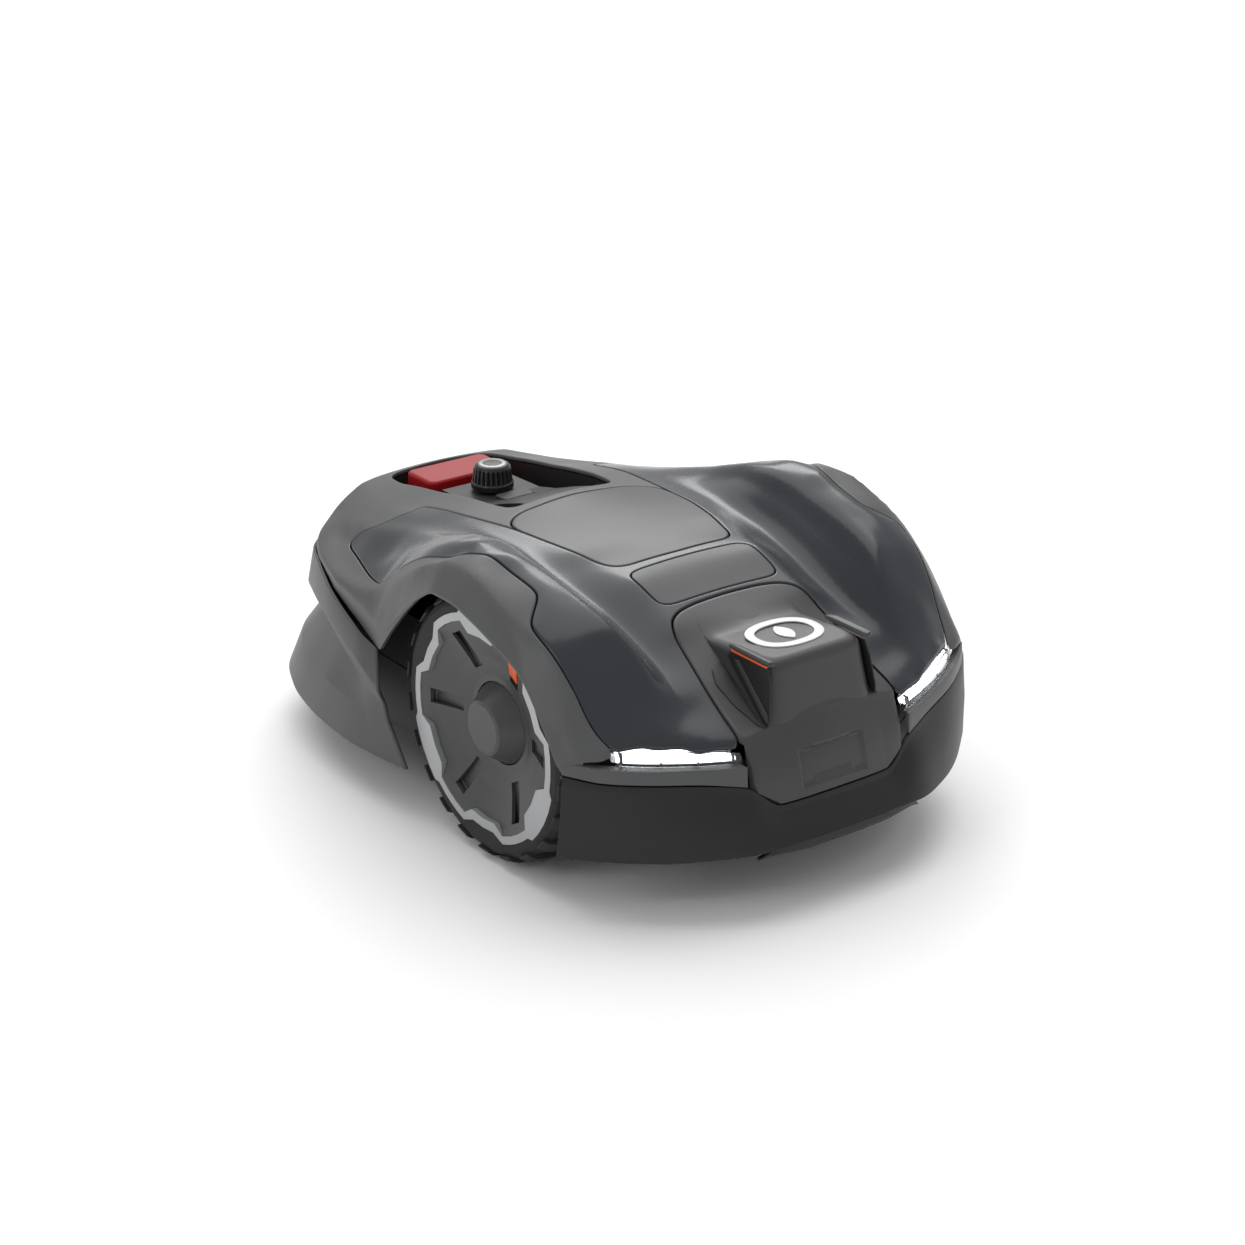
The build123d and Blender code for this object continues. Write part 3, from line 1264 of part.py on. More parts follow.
with BuildPart() as cutting_disc:
    # disc, hub and motor shaft
    with Locations((0, DISC_Y, DISC_Z)):
        Cylinder(DISC_R, 3, align=ON_BASE)
        Cylinder(20, 14, align=ON_BASE)
        Cylinder(DISC_SHAFT_R, 60, align=ON_BASE)
    # pin for the skid plate and its head
    with Locations((0, DISC_Y, 15)):
        Cylinder(SKID_PIN_R, 18, align=ON_BASE)
    with Locations((0, DISC_Y, 12.5)):
        Cylinder(8, 3, align=ON_BASE)
    # slots and blade screw holes
    with BuildSketch(Plane.XY.offset(DISC_Z - 1)):
        with Locations((0, DISC_Y)):
            with PolarLocations(58, 6, start_angle=30):
                SlotOverall(34, 14, rotation=90)
            with PolarLocations(BLADE_PIVOT_R, BLADE_COUNT, start_angle=90):
                Circle(BLADE_SCREW_R + 0.05)
    extrude(amount=6, mode=Mode.SUBTRACT)
save(cutting_disc, "cutting_disc")

for k, (x, y, angle) in enumerate(PIVOTS):
    with BuildPart() as blade:
        with BuildSketch(Plane(origin=(x, y, 26.2), z_dir=(0, 0, 1),
                               x_dir=(float(np.cos(angle)), float(np.sin(angle)), 0))):
            with Locations((10.5, 0)):
                Rectangle(35, 18)
            Circle(BLADE_SCREW_R + PIN_CLEAR, mode=Mode.SUBTRACT)
        extrude(amount=1)
        # cutting edges: the long lower edges
        long_edges = blade.edges().filter_by(GeomType.LINE).filter_by(lambda e: e.length > 30)
        chamfer(long_edges.group_by(Axis.Z)[0], 0.8)
    save(blade, "blade_%d" % (k + 1))

with BuildPart() as blade_screws:
    for x, y, angle in PIVOTS:
        # head, shank, nut
        for z, radius, length in ((22.8, 5, 3), (25, BLADE_SCREW_R, 10.5), (33.1, 4.6, 3)):
            with Locations((x, y, z)):
                Cylinder(radius, length, align=ON_BASE)
save(blade_screws, "blade_screws")

# Half section of the skid plate, (radius, z)
SKID_PROFILE = [
    (0, 16), (40, 16), (52, 18), (56, 21), (56, 22.4), (52, 21), (40, 19), (12, 19),
    (12, 23), (0, 23)]

with BuildPart() as skid_plate:
    with BuildSketch(Plane(origin=(0, DISC_Y, 0), x_dir=(1, 0, 0), z_dir=(0, -1, 0))):
        with BuildLine():
            Polyline(*SKID_PROFILE, close=True)
        make_face()
    revolve(axis=Axis((0, DISC_Y, 0), (0, 0, 1)))
    with Locations((0, DISC_Y, 10)):
        Cylinder(SKID_PIN_R + PIN_CLEAR, 20, align=ON_BASE, mode=Mode.SUBTRACT)
save(skid_plate, "skid_plate")

# ================================================================ floating cover mount
POSTS = [(90, -125), (-90, -125), (100, 10), (-100, 10)]
POST_PIN_R = 5
POST_SLEEVE_R = 9
FRAME_Y = -57.5
FRAME_OUTSIDE = (226, 164, 12)     # width, depth, corner radius
FRAME_OPENING = (160, 100, 10)
FRAME_T = 4
CARRIER_Z = 163
FRAME_Z = 167.2

with BuildPart() as suspension_posts:
    with Locations(*[(x, y, CHASSIS_TOP) for x, y in POSTS]):
        Cylinder(10, 2.9, align=ON_BASE)
save(suspension_posts, "suspension_posts")

with BuildPart() as suspension_carrier:
    with BuildSketch(Plane.XY.offset(CARRIER_Z)):
        with Locations((0, FRAME_Y)):
            RectangleRounded(*FRAME_OUTSIDE)
            RectangleRounded(*FRAME_OPENING, mode=Mode.SUBTRACT)
    extrude(amount=FRAME_T)
    with Locations(*[(x, y, CARRIER_Z) for x, y in POSTS]):
        Cylinder(POST_PIN_R, 19, align=ON_BASE)
save(suspension_carrier, "suspension_carrier")


def sleeve_top(x, y):
    """Height just under the cover, at the lowest point round a sleeve."""
    rim = [skin_height(x + POST_SLEEVE_R * np.cos(t), y + POST_SLEEVE_R * np.sin(t))
           for t in np.linspace(0, 6.28, 13)]
    return float(min(rim) - SHELL_T - 0.6)


with BuildPart() as cover_frame:
    with BuildSketch(Plane.XY.offset(FRAME_Z)):
        with Locations((0, FRAME_Y)):
            RectangleRounded(*FRAME_OUTSIDE)
            RectangleRounded(*FRAME_OPENING, mode=Mode.SUBTRACT)
            Rectangle(60, 120)     # bridge under the antenna
    extrude(amount=FRAME_T)
    for x, y in POSTS:
        with Locations((x, y, FRAME_Z)):
            Cylinder(POST_SLEEVE_R, sleeve_top(x, y) - FRAME_Z, align=ON_BASE)
    with Locations(*[(x, y, 166) for x, y in POSTS]):
        Cylinder(POST_PIN_R + PIN_CLEAR, 26, align=ON_BASE, mode=Mode.SUBTRACT)
save(cover_frame, "cover_frame")

with BuildPart() as positioning_antenna:
    with Locations((0, FRAME_Y, FRAME_Z + FRAME_T + 0.1)):
        Cylinder(26, 14, align=ON_BASE)
    fillet(positioning_antenna.edges().group_by(Axis.Z)[-1], 3)
save(positioning_antenna, "positioning_antenna")
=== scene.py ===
import bpy
import bmesh
import json
import math
import numpy as np
from mathutils import Vector, Matrix
from mathutils.geometry import delaunay_2d_cdt


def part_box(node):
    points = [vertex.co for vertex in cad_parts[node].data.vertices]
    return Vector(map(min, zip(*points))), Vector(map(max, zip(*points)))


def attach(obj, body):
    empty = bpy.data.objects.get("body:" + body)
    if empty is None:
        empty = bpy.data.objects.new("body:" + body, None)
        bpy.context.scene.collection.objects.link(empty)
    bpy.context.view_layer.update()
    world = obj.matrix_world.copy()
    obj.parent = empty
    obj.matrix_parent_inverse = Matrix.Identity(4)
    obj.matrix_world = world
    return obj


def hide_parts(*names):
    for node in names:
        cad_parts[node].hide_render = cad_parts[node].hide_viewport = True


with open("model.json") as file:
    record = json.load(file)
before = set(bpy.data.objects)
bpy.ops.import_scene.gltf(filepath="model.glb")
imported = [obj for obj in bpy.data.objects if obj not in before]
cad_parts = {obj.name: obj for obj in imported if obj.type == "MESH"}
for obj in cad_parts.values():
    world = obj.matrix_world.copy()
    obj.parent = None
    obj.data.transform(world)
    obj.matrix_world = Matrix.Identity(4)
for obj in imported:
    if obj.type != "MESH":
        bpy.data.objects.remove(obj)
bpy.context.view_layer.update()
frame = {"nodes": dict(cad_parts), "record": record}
NODES = frame["nodes"]

SKIN_LINES = [
    # middle of the spine
    [(-330, 0, 140), (-300, 0, 152), (-270, 0, 170), (-230, 0, 190), (-200, 0, 201), (-174, 0, 209.5), (-153, 0, 216.5), (-111, 0, 229), (-89, 0, 231.5), (-40, 0, 235), (10, 0, 236), (60, 0, 236), (110, 0, 234), (160, 0, 229), (210, 0, 221), (250, 0, 213), (290, 0, 203), (315, 0, 194)],
    # edge of the spine and of the nose cover
    [(-330, 88, 80), (-298, 87, 128), (-286, 85, 143.5), (-253, 80, 161.6), (-220, 74, 180.4), (-195, 71, 193.6), (-174, 68, 207), (-153, 66, 214.5), (-111, 66, 227), (-75, 68, 228.7), (-39, 75, 232), (-9, 80, 232.5), (28, 83, 231.5), (68, 85, 229), (113, 88, 225), (158, 93, 217), (186, 95, 211), (220, 92, 206), (250, 88, 201.5), (290, 80, 198.5), (315, 78, 190)],
    # floor of the valley between spine and fender
    [(-330, 105, 80), (-290, 104, 128), (-280, 104, 144.5), (-250, 107, 161.5), (-226, 107, 177), (-198, 103, 187), (-165, 101, 198), (-125, 103, 211), (-70, 107, 222.5), (-5, 105, 229.5), (40, 106, 228.5), (80, 108, 226.5), (120, 112, 221.5), (160, 113, 214), (200, 110, 206), (250, 104, 197.5), (285, 96, 194), (315, 92, 185)],
    # inner edge of the fender crest
    [(-330, 132, 80), (-280, 130, 130), (-270, 130, 147), (-250, 130, 163), (-240, 130, 171), (-226, 130, 187), (-211, 133, 206), (-197, 138, 220), (-183, 143, 230), (-149, 148, 241.5), (-100, 149, 252), (-45, 150, 259), (-10, 150, 254), (20, 149, 245), (56, 147, 233), (90, 142, 224), (120, 140, 216), (160, 141, 205), (200, 138, 195.5), (240, 128, 190), (270, 117, 188), (315, 109, 180)],
    # outer edge of the fender crest
    [(-330, 157, 80), (-270, 156, 130), (-257, 155, 149.5), (-250, 156, 157), (-240, 157, 166), (-222, 161, 186), (-211, 163, 198), (-183, 168, 225), (-149, 168, 241.5), (-128, 164, 248.5), (-100, 166, 255), (-75, 168, 261.5), (-45, 170, 261.5), (-10, 170, 253), (20, 170, 242), (56, 170, 225), (90, 169, 207), (120, 166, 195), (160, 161, 188), (190, 154, 184), (215, 148, 182), (245, 138, 184), (275, 125, 182), (315, 118, 175)],
    # top edge of the arch trim
    [(-330, 185, 80), (-245, 181, 145), (-236, 183, 154), (-222, 187, 168.5), (-206, 191, 191.5), (-179, 195.5, 217.5), (-157, 196, 230), (-151, 193, 233.5), (-136, 179, 243.5), (-128, 176, 246.5), (-99, 176, 253), (-66, 181, 260), (-50, 185, 257.5), (-27, 189, 248.5), (-4, 190, 241.5), (12, 190, 236), (36, 190, 223.5), (52, 190, 213.5), (69, 190, 200), (86, 189, 190), (110, 188, 184), (150, 181, 180), (185, 172, 178), (215, 163, 177), (245, 150, 178), (280, 135, 175), (315, 125, 168)],
    # shoulder of the arch trim
    [(-330, 200, 80), (-232, 204, 145), (-222, 206, 155), (-200, 208, 178), (-178, 208, 203), (-151, 208, 225), (-113, 205, 244), (-79, 203, 253.5), (-44, 203, 252.5), (-20, 205, 243), (0, 206, 233), (20, 206, 219), (40, 206, 204), (60, 205, 190), (80, 204, 184), (110, 201, 180), (150, 193, 177), (185, 182, 175), (215, 171, 174), (245, 156, 175), (280, 141, 172), (315, 132, 165)],
    # lip of the wheel arch and rear side edge
    [(-330, 217, 80), (-222, 217, 130), (-205, 217, 156), (-188, 217, 178), (-167, 217, 199), (-135, 217, 212), (-96, 217, 224), (-67, 217, 230), (-43, 217, 230), (-21, 217, 219), (3, 217, 200), (28, 217, 178), (49, 216, 168), (60, 214, 168), (80, 211, 171), (110, 207, 173), (150, 199, 173), (185, 187, 172), (215, 176, 171), (245, 160, 172), (280, 145, 170), (315, 136, 160)],
]


BODY_SIDE = [(209, -230), (217, -221), (218, -195), (218, -120), (218, -60), (218, 0), (218, 30), (216, 50), (211, 80), (207, 110), (199, 150), (187, 185), (176, 215), (162, 243), (146, 261), (125, 276), (95, 288), (60, 297), (0, 302)]
HATCH_HALF = [(0, -94), (54, -91.5), (64, -85), (69, -73), (76, -39), (81, -8), (83.5, 28), (80, 44), (70, 55), (56, 61), (0, 63)]
PLATE_HALF = [(0, -154.5), (52, -155), (61, -152), (64, -145), (64.5, -115), (62, -107.5), (54, -103.5), (0, -103.5)]
NOSE_TOP_HALF = [(0, -292), (84, -287), (81, -252), (79, -226), (75, -200), (73, -183), (67, -171), (55, -164), (36, -161), (0, -160)]
COVER_FRONT = [(84, -287), (118, -275.5), (147, -260.5), (168, -249.5), (180, -241.5)]
COVER_SIDE = [(185, -232), (188, -222), (191.5, -206), (196, -179), (197.5, -157), (194, -150.5), (178.5, -137.5), (173.5, -130), (175, -100), (178, -69), (181, -60), (186, -45), (190, -27), (190, 20), (190, 69), (191, 85), (183, 115), (169, 155), (157, 189), (151, 197.5), (145, 193), (139, 174), (123, 165), (110, 160.5), (96, 163), (94, 152), (93, 104), (88, 64)]
WELL_HALF = [(0, 75), (52, 77), (58, 84), (61, 110), (62, 180), (62, 250), (57, 276), (46, 286), (0, 290)]
LAMP_LINE = [(88, -290.5), (120, -278.5), (149, -264.5), (170, -252), (181, -243.5)]

# ---------------------------------------------------------------- side and front views
ARCH = [(-232, 127), (-222, 128.5), (-205, 156), (-188, 178), (-167, 199), (-135, 212), (-96, 223), (-67, 229), (-43, 229), (-21, 217), (3, 195), (28, 168), (49, 144), (77, 150), (100, 156), (140, 163), (175, 167), (210, 169), (330, 169)]
FRONT_SPLIT = [(0, 89.5), (56, 89.5), (88, 110.5), (123, 116.5), (161, 120.5), (194, 123.5), (209, 127), (217, 129)]


COVER_OUTLINE = [(0, -160), (36, -161), (55, -164), (67, -171), (73, -183), (75, -200), (79, -226), (81, -252)] + COVER_FRONT + COVER_SIDE + [(83.5, 28), (81, -8), (76, -39), (69, -73), (64, -85), (54, -91.5), (0, -94)]
SHELL_HALF = [(83.5, 28)] + list(reversed(COVER_SIDE)) + [(180, -241.5), (182, -243.5), (194, -241)] + BODY_SIDE
SHELL_OUTLINE = [(0, 63), (56, 61), (70, 55), (80, 44)] + SHELL_HALF
TOP_X = [0, 28, 56, 88, 123, 161, 194, 209, 216.5]
TOP_Y = [-309.5, -309, -307, -298.5, -284, -267, -245, -231, -223]
LOW_Y = [-328, -327.5, -326, -322, -305.5, -280, -250, -236, -222]
LOW_X = [0, 30, 58, 84, 121, 160, 195, 210, 222]
LOW_Z = [63, 63, 62, 60, 58, 56, 56, 57, 58]
BAND_TOP = [(217, 53), (217, 75), (214, 100), (204, 145), (190, 185), (178, 214), (163, 245), (146, 263), (125, 278), (95, 290), (60, 299), (0, 304)]
BAND_LOW = [(222, 44, 112), (222, 70, 122), (219, 98, 130), (210, 142, 138), (196, 186, 140), (183, 218, 138), (168, 249, 134), (150, 268, 132), (128, 283, 130), (97, 295, 130), (61, 303, 130), (0, 308, 130)]
RECESS = [(221, 36, 98), (219, 62, 102), (214, 92, 106), (204, 138, 110), (189, 184, 112), (177, 217, 112), (163, 246, 112), (146, 266, 112), (125, 281, 112), (95, 292, 112), (60, 300, 112), (0, 305, 112)]
FOLD = [(223, 28, 86), (222, 55, 85), (220, 92, 82), (213, 140, 80), (199, 190, 78), (188, 225, 78), (172, 258, 80), (155, 278, 82), (132, 293, 84), (100, 304, 86), (62, 312, 86), (0, 316, 86)]
SKIRT = [(219, 6, 46), (223, 50, 44), (225, 90, 43), (221, 145, 43), (208, 208, 43), (196, 240, 43), (180, 272, 43), (162, 293, 43), (138, 309, 43), (104, 320, 43), (64, 326, 43), (0, 328, 43)]


def pchip_rows(X, Y, Q):
    """Monotone cubic through each row of (X, Y), read at Q, held at both ends."""
    Q = np.clip(Q, X[:, 0], X[:, -1])
    h = np.diff(X, axis=1)
    d = np.diff(Y, axis=1) / h
    m = np.zeros_like(X)
    m[:, 0], m[:, -1] = d[:, 0], d[:, -1]
    w1, w2 = 2 * h[:, 1:] + h[:, :-1], h[:, 1:] + 2 * h[:, :-1]
    a, b = d[:, :-1], d[:, 1:]
    same = a * b > 0
    safe_a, safe_b = np.where(same, a, 1.0), np.where(same, b, 1.0)
    m[:, 1:-1] = np.where(same, (w1 + w2) / (w1 / safe_a + w2 / safe_b), 0.0)
    k = np.clip((X <= Q[:, None]).sum(1) - 1, 0, X.shape[1] - 2)
    r = np.arange(len(Q))
    hh = h[r, k]
    t = (Q - X[r, k]) / hh
    return (2 * t**3 - 3 * t**2 + 1) * Y[r, k] + (t**3 - 2 * t**2 + t) * hh * m[r, k] + (3 * t**2 - 2 * t**3) * Y[r, k + 1] + (t**3 - t**2) * hh * m[r, k + 1]


def heights(P):
    """Height of the top skin over plan points P (n x 2), in millimetres."""
    P = np.asarray(P, float)
    n = len(P)
    px, pz = [], []
    for line in SKIN_LINES:
        a = np.array(line, float)
        Y = np.repeat(a[None, :, 0], n, 0)
        px.append(pchip_rows(Y, np.repeat(a[None, :, 1], n, 0), P[:, 1]))
        pz.append(pchip_rows(Y, np.repeat(a[None, :, 2], n, 0), P[:, 1]))
    px.insert(3, px[2] * 0.45 + px[3] * 0.55)
    pz.insert(3, pz[2] * 0.5 + pz[3] * 0.5)
    px.insert(0, -px[1])
    pz.insert(0, pz[1])
    return pchip_rows(np.array(px).T, np.array(pz).T, np.abs(P[:, 0]))


def read(table, q):
    return np.interp(q, [p[0] for p in table], [p[1] for p in table])


def mirrored(half):
    return list(half) + [(-x, y) for x, y in reversed(half) if x > 1e-6]


def area(poly):
    a = np.asarray(poly, float)
    return 0.5 * float(np.sum(a[:, 0] * np.roll(a[:, 1], -1) - np.roll(a[:, 0], -1) * a[:, 1]))


def grown(poly, d):
    a = np.array(poly, float)
    s = 1.0 if area(poly) > 0 else -1.0
    e1 = a - np.roll(a, 1, 0)
    e2 = np.roll(a, -1, 0) - a
    n1 = np.stack([e1[:, 1], -e1[:, 0]], 1) / np.maximum(np.linalg.norm(e1, axis=1)[:, None], 1e-9)
    n2 = np.stack([e2[:, 1], -e2[:, 0]], 1) / np.maximum(np.linalg.norm(e2, axis=1)[:, None], 1e-9)
    m = n1 + n2
    m /= np.maximum(np.linalg.norm(m, axis=1)[:, None], 1e-9)
    k = np.clip(np.sum(m * n1, 1), 0.45, 1.0)
    return a + s * d * m / k[:, None]


def rounded(poly, r=9.0, frac=0.42, n=5):
    """Outline with each corner turned into a short curve."""
    a = np.array(poly, float)
    out = []
    for i in range(len(a)):
        p, v, q = a[i - 1], a[i], a[(i + 1) % len(a)]
        lp, lq = np.linalg.norm(p - v), np.linalg.norm(q - v)
        A = v + (p - v) * min(frac, r / lp)
        B = v + (q - v) * min(frac, r / lq)
        for k in range(n):
            t = k / (n - 1)
            out.append((1 - t) ** 2 * A + 2 * t * (1 - t) * v + t * t * B)
    return np.array(out)


def evenly(poly, step):
    a = np.array(poly, float)
    b = np.vstack([a, a[:1]])
    s = np.concatenate([[0], np.cumsum(np.linalg.norm(np.diff(b, axis=0), axis=1))])
    n = max(8, int(s[-1] / step))
    q = np.arange(n) * s[-1] / n
    return np.stack([np.interp(q, s, b[:, 0]), np.interp(q, s, b[:, 1])], 1)


def within(poly, P):
    a = np.asarray(poly, float)
    b = np.roll(a, -1, 0)
    x, y = P[:, 0][:, None], P[:, 1][:, None]
    den = np.where(b[:, 1] == a[:, 1], 1e-12, b[:, 1] - a[:, 1])
    hit = ((a[:, 1] > y) != (b[:, 1] > y)) & (x < (b[:, 0] - a[:, 0]) * (y - a[:, 1]) / den + a[:, 0])
    return hit.sum(1) % 2 == 1


def away(poly, P):
    """Distance of points P from a closed outline."""
    a = np.asarray(poly, float)
    b = np.roll(a, -1, 0)
    best = np.full(len(P), 1e9)
    for i in range(0, len(P), 4000):
        Q = P[i:i + 4000]
        ab = b - a
        t = np.clip(((Q[:, None] - a) * ab).sum(2) / np.maximum((ab**2).sum(1), 1e-12), 0, 1)
        d = np.linalg.norm(Q[:, None] - (a + t[..., None] * ab), axis=2)
        best[i:i + 4000] = d.min(1)
    return best


def mesh_object(name, verts, faces, mat=None, smooth=True, fix=True):
    me = bpy.data.meshes.new(name)
    me.from_pydata([tuple(float(c) * 0.001 for c in v) for v in verts], [], [tuple(int(i) for i in f) for f in faces])
    me.validate()
    if fix:
        bm = bmesh.new()
        bm.from_mesh(me)
        bmesh.ops.remove_doubles(bm, verts=bm.verts, dist=1e-6)
        bmesh.ops.recalc_face_normals(bm, faces=bm.faces)
        bm.to_mesh(me)
        bm.free()
    if smooth:
        me.shade_smooth()
    ob = bpy.data.objects.new(name, me)
    bpy.context.scene.collection.objects.link(ob)
    if mat:
        ob.data.materials.append(mat)
    return ob


def sharpen(ob, angle=35):
    """Marks edges sharper than the angle, so faces meet crisply there."""
    ob.data.shade_smooth()
    bm = bmesh.new()
    bm.from_mesh(ob.data)
    lim = math.radians(angle)
    for e in bm.edges:
        if len(e.link_faces) == 2 and e.calc_face_angle(0) > lim:
            e.smooth = False
    bm.to_mesh(ob.data)
    bm.free()
    return ob


def baked(ob):
    """Applies every modifier."""
    bpy.context.view_layer.update()
    ev = ob.evaluated_get(bpy.context.evaluated_depsgraph_get())
    me = bpy.data.meshes.new_from_object(ev)
    ob.modifiers.clear()
    ob.data = me
    return ob


def panel(name, outer, holes=(), t=3.5, foot=None, grid=6.0, step=3.0, rnd=1.3, dz=0.0, mat=None, rows=1, side=None, gap=0.5, face=None):
    """Closed moulded panel under the top skin. foot(P) gives (dx, dy, z) of the lower rim."""
    outer = evenly(rounded(outer), step)
    if area(outer) < 0:
        outer = outer[::-1]
    outer = grown(outer, -gap)
    holes = [evenly(rounded(h), step) for h in holes]
    holes = [grown(h[::-1] if area(h) < 0 else h, gap) for h in holes]
    loops = [outer] + holes
    free = []
    for li, l in enumerate(loops):
        for off in (0.35, 0.9, 1.6, 3.3, 3.8):
            r = grown(l, -off if li == 0 else off)
            ok = away(l, r) > off * 0.9
            ok &= within(outer, r)
            for h in holes:
                ok &= ~within(h, r)
            for other in loops:
                if other is not l:
                    ok &= away(other, r) > off * 0.9
            free.append(r[ok])
    lo, hi = outer.min(0), outer.max(0)
    gx, gy = np.meshgrid(np.arange(-math.ceil(-lo[0] / grid) * grid, hi[0] + grid, grid), np.arange(lo[1], hi[1], grid))
    gx[1::2] += grid / 2
    G = np.stack([gx.ravel(), gy.ravel()], 1)
    ok = within(outer, G)
    for h in holes:
        ok &= ~within(h, G)
    for l in loops:
        ok &= away(l, G) > 5.2
    free.append(G[ok])
    allp = np.vstack(loops + free)
    edges, base = [], 0
    for l in loops:
        edges += [(base + i, base + (i + 1) % len(l)) for i in range(len(l))]
        base += len(l)
    res = delaunay_2d_cdt([Vector((float(p[0]), float(p[1]))) for p in allp], edges, [], 0, 1e-4)
    V = np.array([tuple(v) for v in res[0]])
    F = np.array([tuple(f) for f in res[2]])
    back = {}
    for i, src in enumerate(res[3]):
        for k in src:
            back[k] = i
    c = V[F].mean(1)
    ok = within(outer, c)
    for h in holes:
        ok &= ~within(h, c)
    F = F[ok]
    d_out = away(outer, V)
    d = d_out.copy()
    for h in holes:
        d = np.minimum(d, away(h, V))
    z = heights(V) + dz
    if face is not None:
        z = z + face(V)
    drop = np.where(d < rnd, rnd - np.sqrt(np.maximum(rnd**2 - (rnd - np.minimum(d, rnd)) ** 2, 0)), 0)
    top = np.column_stack([V, z - drop])
    low = np.column_stack([V, z - t])
    if foot is not None:
        f = foot(V)
        rim = (d_out < 3.5) & (f[:, 2] < z - t - 0.5)
        low[rim, 0] += f[rim, 0]
        low[rim, 1] += f[rim, 1]
        low[rim, 2] = f[rim, 2]
    n = len(V)
    verts = [top, low]
    faces = [tuple(x) for x in F] + [tuple(x[::-1] + n) for x in F]
    count, base = 2 * n, 0
    for li, l in enumerate(loops):
        m = len(l)
        idx = [back[base + i] for i in range(m)]
        cols = [[i] for i in idx]
        if rows > 1 and li == 0:
            for k in range(1, rows):
                s = k / rows
                A, B = top[idx], low[idx]
                R = A + (B - A) * s
                if side is not None:
                    R = side(A, B, R, s)
                verts.append(R)
                for j in range(m):
                    cols[j].append(count + j)
                count += m
        for j, i in enumerate(idx):
            cols[j].append(i + n)
        for j in range(m):
            a, b = cols[j], cols[(j + 1) % m]
            for k in range(len(a) - 1):
                faces.append((a[k], a[k + 1], b[k + 1], b[k]))
        base += m
    ob = mesh_object(name, np.vstack(verts), faces, mat)
    return sharpen(ob, 40)


def smooth_rail(pts, n=6):
    """Curve through points, n spans between neighbours, smooth but without overshoot."""
    a = np.array(pts, float)
    s = np.concatenate([[0], np.cumsum(np.maximum(np.linalg.norm(np.diff(a[:, :2], axis=0), axis=1), 1e-6))])
    q = np.concatenate([np.linspace(s[i], s[i + 1], n, endpoint=False) for i in range(len(s) - 1)] + [[s[-1]]])
    X = np.repeat(s[None], len(q), 0)
    return np.stack([pchip_rows(X, np.repeat(a[None, :, k], len(q), 0), q) for k in range(3)], 1)


def whole(half):
    half = list(half) if half[0][0] > half[-1][0] else list(half)[::-1]
    return half + [(-x, y, z) for x, y, z in reversed(half) if x > 1e-6]


def sheet(name, rails, thick, mat, bevel=1.2, across=1, closed_ends=True, n=6, angle=24, out=None):
    """Moulded strip through rails (top to bottom), thickened inwards, edges rounded."""
    R = [smooth_rail(r, n) for r in rails]
    rows = []
    for a, b in zip(R[:-1], R[1:]):
        for k in range(across):
            rows.append(a + (b - a) * k / across)
    rows.append(R[-1])
    m = len(rows[0])
    verts = np.vstack(rows)
    faces = [(i * m + j, i * m + j + 1, (i + 1) * m + j + 1, (i + 1) * m + j) for i in range(len(rows) - 1) for j in range(m - 1)]
    # faces look away from the middle of the object
    a, b, c = verts[faces[len(faces) // 2][0]], verts[faces[len(faces) // 2][1]], verts[faces[len(faces) // 2][3]]
    nrm = np.cross(b - a, c - a)
    ref = a - np.array([0, 0, 130.0]) if out is None else np.array(out, float)
    if np.dot(nrm, ref) < 0:
        faces = [f[::-1] for f in faces]
    ob = mesh_object(name, verts, faces, mat, fix=False)
    so = ob.modifiers.new("thick", "SOLIDIFY")
    so.thickness = thick * 0.001
    so.offset = -1
    so.use_even_offset = True
    bv = ob.modifiers.new("edge", "BEVEL")
    bv.width = bevel * 0.001
    bv.segments = 3
    bv.limit_method = "ANGLE"
    bv.angle_limit = math.radians(angle)
    bv.use_clamp_overlap = True
    baked(ob)
    return sharpen(ob, 50)


COVER_FULL = mirrored(COVER_OUTLINE)
COVER_HOLES = [mirrored(PLATE_HALF)]


